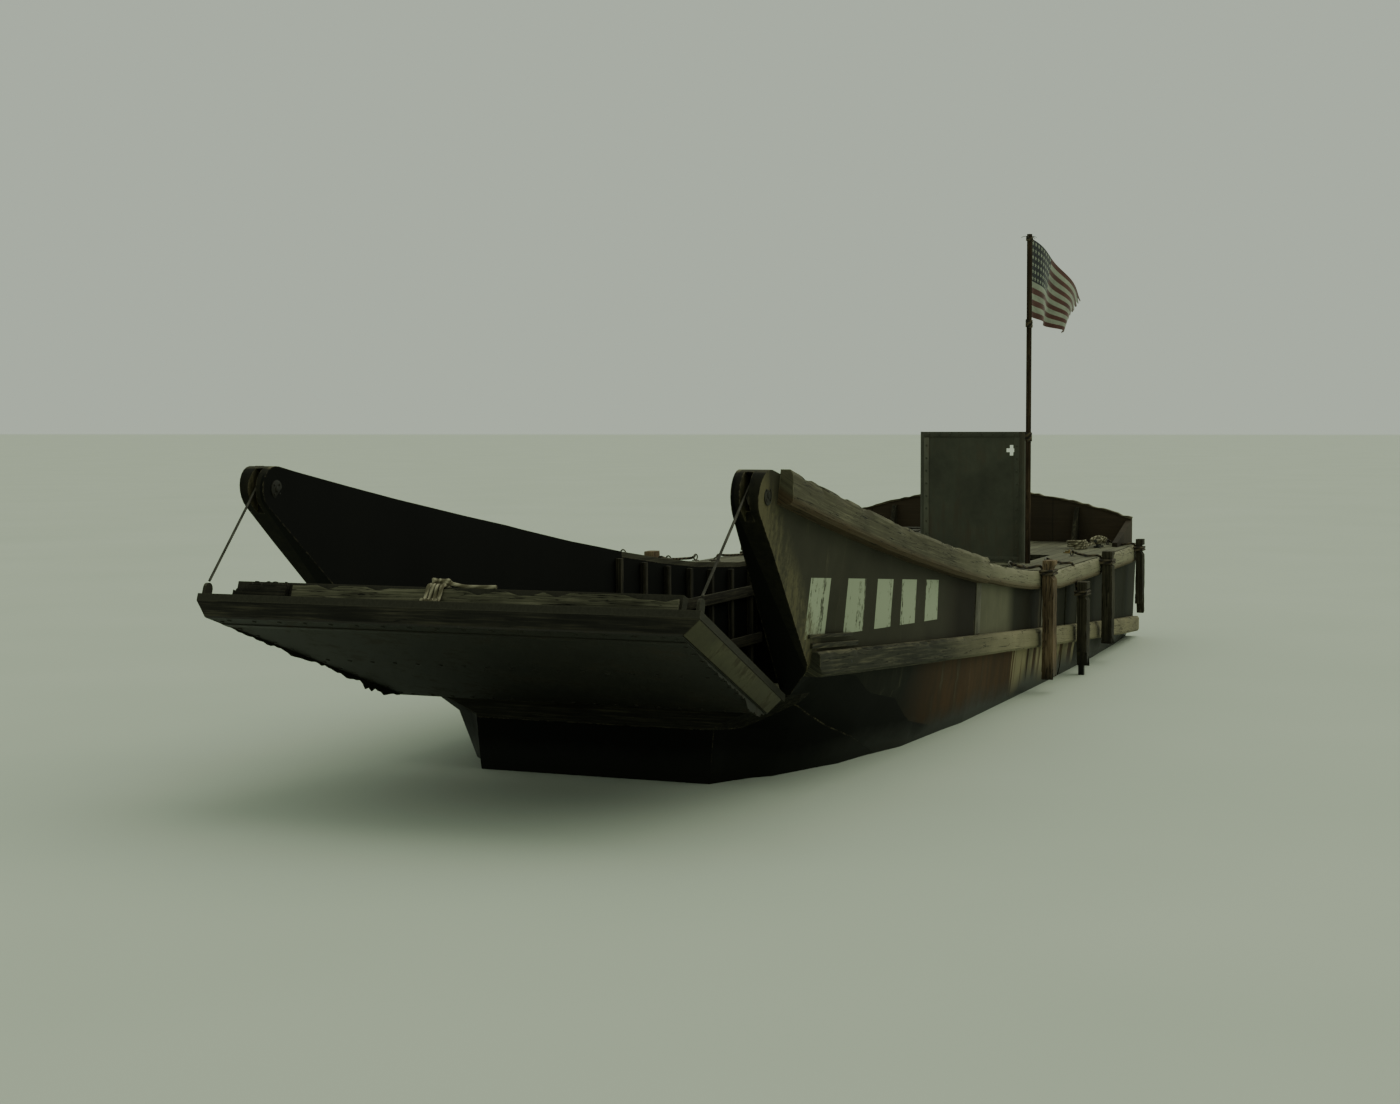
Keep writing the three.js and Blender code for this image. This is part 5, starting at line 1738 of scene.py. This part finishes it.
@dataclass
class EngineBox(Assembly):
    """The lids' cross battens and lifting rings, and the box's corner irons."""

    x: tuple[float, float] = (-3.785, -2.34)
    half: float = 0.5
    top: float = 1.127

    def build(self) -> None:
        """Builds the pieces of each lid and of the box."""
        (aft, fore), top = self.x, self.top
        for side, body in ((Side.PORT, Body.LID_PORT), (Side.STARBOARD, Body.LID_STARBOARD)):
            s = side.value
            y0, y1 = sorted((s * 0.03, s * 0.42))
            parts = []
            for x in (aft + 0.16, (aft + fore) / 2, fore - 0.16):
                parts.append(box((x - 0.045, y0, top - 0.001), (x + 0.045, y1, top + 0.018)))
            self.add(f"lid_battens_{side.word}", parts, "lid", body)
            parts = []
            for x in (aft + 0.45, fore - 0.45):
                parts.append(disc((x, s * 0.09, top - 0.001), Z, 0.034, 0.005))
                parts.append(ring((x, s * 0.115, top + 0.009), Z, 0.036, 0.005))
            self.add(f"lid_rings_{side.word}", parts, "bare", body)
        irons = []
        for a, b in ((-3.76, -3.7), (-2.405, -2.345)):
            for y0, y1 in ((-self.half - 0.003, -self.half), (self.half, self.half + 0.003)):
                irons.append(box((a, y0, 0.94), (b, y1, 1.08), 0.001))
        self.add("engine_box_corner_irons", irons, "plate")


@dataclass
class SternFittings(Assembly):
    """The coaming's cap and knees, the after hatch, filler caps, exhausts and cleat ropes."""

    x: float = -5.365
    rope: float = 0.011

    @staticmethod
    def arch(y: float) -> float:
        """Height of the stern coaming's top."""
        return DECK + 0.24 + 0.27 * (1 - abs(y / 1.49) ** 1.8)

    def build(self) -> None:
        """Builds every piece round the stern."""
        self.coaming_cap()
        self.knees()
        self.deck_fittings()
        for side in Side:
            self.belayed(side)

    def coaming_cap(self) -> None:
        """The splintered oak cap on the arched coaming."""
        ys = [1.49 * (i / 6 - 1) for i in range(13)]
        ends = [(self.x, y, self.arch(y) + 0.006) for y in ys]
        cap = joined("cap", [strut(a, b, 0.075, 0.024, Z) for a, b in zip(ends, ends[1:])])
        with shaping(cap):
            sliced(((0, 3.0 * i / 60 - 1.5, 0), (0, 1, 0)) for i in range(1, 60))
        rng = random.Random(21)
        bites = [0.016 * rng.random() ** 2 for _ in range(61)]
        with shaping(cap, "VERT") as mesh:
            for vert in mesh.verts:
                if vert.co.z > self.arch(vert.co.y) + 0.006:
                    vert.co.z -= bites[min(60, max(0, round((vert.co.y + 1.5) * 20)))]
        self.add("stern_coaming_cap", [cap], "cap")

    def knees(self) -> None:
        """The four knees that hold the coaming up."""
        knees = []
        for y in (-0.95, -0.32, 0.32, 0.95):
            knee = box((-5.341, y - 0.022, DECK), (-5.14, y + 0.022, self.arch(y) - 0.04), 0)
            with shaping(knee, "VERT"):
                pick(knee, "verts", lambda v: v.co.x > -5.2 and v.co.z > DECK + 0.1)
                bpy.ops.transform.translate(value=(-0.17, 0, 0))
            knees.append(knee)
        self.add("stern_coaming_knees", knees, "rib")

    def deck_fittings(self) -> None:
        """The after hatch with its irons, the tanks' filler caps and the exhaust outlets."""
        hatch = box((-4.55, -0.36, DECK), (-4.02, 0.36, DECK + 0.03), 0.006)
        self.add("after_hatch_lid", [hatch], "lid")
        iron = [disc((-4.12, 0, DECK + 0.0295), Z, 0.034, 0.005)]
        iron.append(ring((-4.12, 0.025, DECK + 0.039), Z, 0.036, 0.005))
        for y in (-0.24, 0.24):
            iron.append(box((-4.6, y - 0.02, DECK + 0.001), (-4.46, y + 0.02, DECK + 0.034), 0.003))
        self.add("after_hatch_irons", iron, "bare")
        caps = []
        for y in (-1.2, 1.25):
            caps += [disc((-3.65, y, DECK), Z, 0.06, 0.008), disc((-3.65, y, DECK + 0.008), Z, 0.042, 0.014)]
            caps.append(box((-3.675, y - 0.006, DECK + 0.02), (-3.625, y + 0.006, DECK + 0.03), 0.002))
        self.add("tank_filler_caps", caps, "bronze")
        pipes = []
        for y in (-0.42, 0.42):
            pipes.append(disc((-5.4, y, 0.34), (-1, 0, 0), 0.085, 0.01, hole=0.045))
            pipes.append(disc((-5.408, y, 0.34), (-1, 0, 0), 0.052, 0.04, hole=0.043))
        self.add("exhaust_outlets", pipes, "winch")

    def belayed(self, side: Side) -> None:
        """A bleached rope in figure-of-eight turns on a quarter cleat, its end coiled down beside it."""
        s, x, z = side.value, -4.55, DECK + 0.066
        y, turns = s * 1.33, []
        for i in range(3):
            lift, wide = z + 0.012 * i - 0.016, 0.055 + 0.008 * i
            path = ((-0.11, wide, 0), (-0.14, 0, 0), (-0.11, -wide, 0), (0, 0, 0.03))
            path += ((0.11, wide, 0), (0.14, 0, 0), (0.11, -wide, 0), (0, 0, 0.04))
            turns.append(run_of_rope([(x + a, y + b, lift + c) for a, b, c in path], self.rope, True))
        coil = []
        for i in range(40):
            angle, radius = i * math.pi / 6, 0.11 + 0.012 * math.sin(i * 1.9)
            off = (0.3 + radius * math.cos(angle), 0.8 * radius * math.sin(angle) - s * 0.14)
            coil.append((x + off[0], y + off[1], DECK + self.rope + 0.0018 * i))
        lead = ((x + 0.1, y, z), (x + 0.17, y - s * 0.02, DECK + 0.03), coil[0])
        turns += [run_of_rope(coil, self.rope), run_of_rope(lead, self.rope)]
        self.add(f"cleat_rope_{side.word}", turns, "pale_rope")


@dataclass
class HelmFittings(Assembly):
    """The instrument box and the engine levers behind the shield."""

    x: float = -2.325
    y: float = 0.5
    z: float = 1.42

    def build(self) -> None:
        """Builds the box with its dials, and the lever quadrant."""
        x, y, z = self.x, self.y, self.z
        shell = box((x + 0.005, y - 0.15, z - 0.09), (x + 0.075, y + 0.15, z + 0.09), 0.006)
        self.add("instrument_box", [shell], "winch")
        rims, faces, radius = [], [], 0.038
        for off in (-0.095, 0.0, 0.095):
            at = (x + 0.006, y + off, z + 0.02)
            rims.append(disc(at, (-1, 0, 0), radius, 0.008, hole=radius * 0.84))
            faces.append(disc(at, (-1, 0, 0), radius * 0.86, 0.003))
        self.add("instrument_rims", rims, "bare")
        self.add("instrument_faces", faces, "dial")
        levers = [box((-2.46, 0.7, 1.341), (-2.36, 0.83, 1.36))]
        for lever_y, lean in ((0.735, -0.05), (0.795, 0.03)):
            head = (-2.41 + lean, lever_y, 1.52)
            levers.append(run_of_rope(((-2.41, lever_y, 1.35), head), 0.006))
            deselect()
            bpy.ops.mesh.primitive_uv_sphere_add(segments=12, ring_count=8, radius=0.017, location=head)
            levers.append(settle(named("knob")))
        self.add("engine_levers", levers, "bare")


@dataclass
class PackedNodes(Assembly):
    """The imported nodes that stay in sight, each given the finish of the real piece."""

    nodes: dict[str, Obj]
    # start of the node's name, finish
    finishes: tuple[tuple[str, str], ...] = (
        ("deck", "deck"),
        ("covering_board", "board"),
        ("load_floor", "deck"),
        ("ramp_panel", "ramp_deck"),
        ("ramp_frame", "cross_timber"),
        ("ramp_plate", "plate"),
        ("headlog", "cross_timber"),
        ("towing_bitt", "post"),
        ("flagstaff", "post"),
        ("guard_stern", "cross_timber"),
        ("stern_coaming", "coaming"),
        ("shield", "shield"),
        ("helm", "winch"),
        ("ramp_winch", "winch"),
        ("quarter_cleat", "winch"),
        ("rudder", "winch"),
        ("sheave", "bare"),
        ("ramp_hinge_pin", "bare"),
        ("propeller", "bronze"),
        ("engine", "engine"),
        ("engine_coaming", "lid"),
        ("engine_lid", "lid"),
    )

    def build(self) -> None:
        """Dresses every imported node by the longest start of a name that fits, or in hull paint."""
        for name, node in self.nodes.items():
            fits = [row for row in self.finishes if name.startswith(row[0])]
            coat = max(fits, key=lambda row: len(row[0]))[1] if fits else "hull"
            if node.material_slots:
                node.material_slots[0].material = self.paint[coat].material
            else:
                node.data.materials.append(self.paint[coat].material)


@dataclass
class Studio:
    """The pale floor at the waterline, soft light and the camera."""

    eye: tuple[float, float, float] = (15.6929, 5.5408, 2.2198)
    yaw: float = math.radians(202.418)
    pitch: float = math.radians(-3.718)
    roll: float = math.radians(-0.209)
    lens: float = 54.513
    dry: tuple[float, float, float] = (-3.85, 2.45, 1.21)  # aft end, fore end and half width of the opening
    sky_from: tuple[float, float, float] = (-0.55, 0.5, 1.0)
    sky_power: float = 1.0

    def build(self) -> None:
        """Builds the floor, the lights and the camera."""
        self.floor()
        self.light()
        self.camera()

    def floor(self) -> None:
        """A wide floor whose top is the water's surface, left open inside the hull."""
        deselect()
        bpy.ops.mesh.primitive_plane_add(size=400)
        floor = named("studio_floor")
        aft, fore, half = self.dry

        def is_inside(face: bmesh.types.BMFace) -> bool:
            """Whether a face lies in the hull's opening."""
            middle = face.calc_center_median()
            return aft < middle.x < fore and abs(middle.y) < half

        with shaping(floor):
            sliced((((aft, 0, 0), X), ((fore, 0, 0), X), ((0, -half, 0), Y), ((0, half, 0), Y)))
            pick(floor, "faces", is_inside)
            bpy.ops.mesh.delete(type="FACE")
        floor.data.materials.append(StudioFloor().make())

    def light(self) -> None:
        """An overcast sky, brighter over the port quarter."""
        world = bpy.data.worlds.new("overcast")
        bpy.context.scene.world = world
        world.use_nodes = True
        background = world.node_tree.nodes["Background"]
        background.inputs["Color"].default_value = linear("#cbd6c4")
        background.inputs["Strength"].default_value = 0.8
        data = bpy.data.lights.new("bright_sky_to_port", "SUN")
        data.energy = self.sky_power
        data.angle = math.radians(75)
        data.color = linear("#f4f4e2")[:3]
        lamp = linked("bright_sky_to_port", data)
        lamp.rotation_euler = Vector(self.sky_from).to_track_quat("Z", "Y").to_euler()

    def camera(self) -> None:
        """The camera at the photograph's place and angle."""
        level = Vector((math.cos(self.yaw), math.sin(self.yaw), 0)) * math.cos(self.pitch)
        forward = level + Z * math.sin(self.pitch)
        right = forward.cross(Z).normalized()
        up = right.cross(forward)
        across = math.cos(self.roll) * right + math.sin(self.roll) * up
        over = -math.sin(self.roll) * right + math.cos(self.roll) * up
        data = bpy.data.cameras.new("camera")
        data.lens = self.lens
        data.sensor_width = 36.0
        camera = linked("camera", data)
        turn = Matrix((across, over, -forward)).transposed().to_4x4()
        camera.matrix_world = Matrix.Translation(Vector(self.eye)) @ turn
        bpy.context.scene.camera = camera


SUB_ASSEMBLIES = (
    Shell,
    Guards,
    Fenders,
    HullSides,
    LoadSpace,
    RampDressing,
    LiftCables,
    FlagAndStaff,
    CoxswainShield,
    WinchDressing,
    BowFittings,
    EngineBox,
    SternFittings,
    HelmFittings,
)


def main() -> None:
    """Builds the dressed boat in its studio."""
    logging.basicConfig(level=logging.INFO, format="%(name)s: %(message)s")
    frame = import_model()
    paint = mixed_paints()
    PackedNodes(paint, frame["nodes"]).build()
    for kind in SUB_ASSEMBLIES:
        LOG.info("building %s", kind.__name__)
        kind(paint).build()
    Studio().build()
    deselect()


if __name__ == "__main__":
    main()
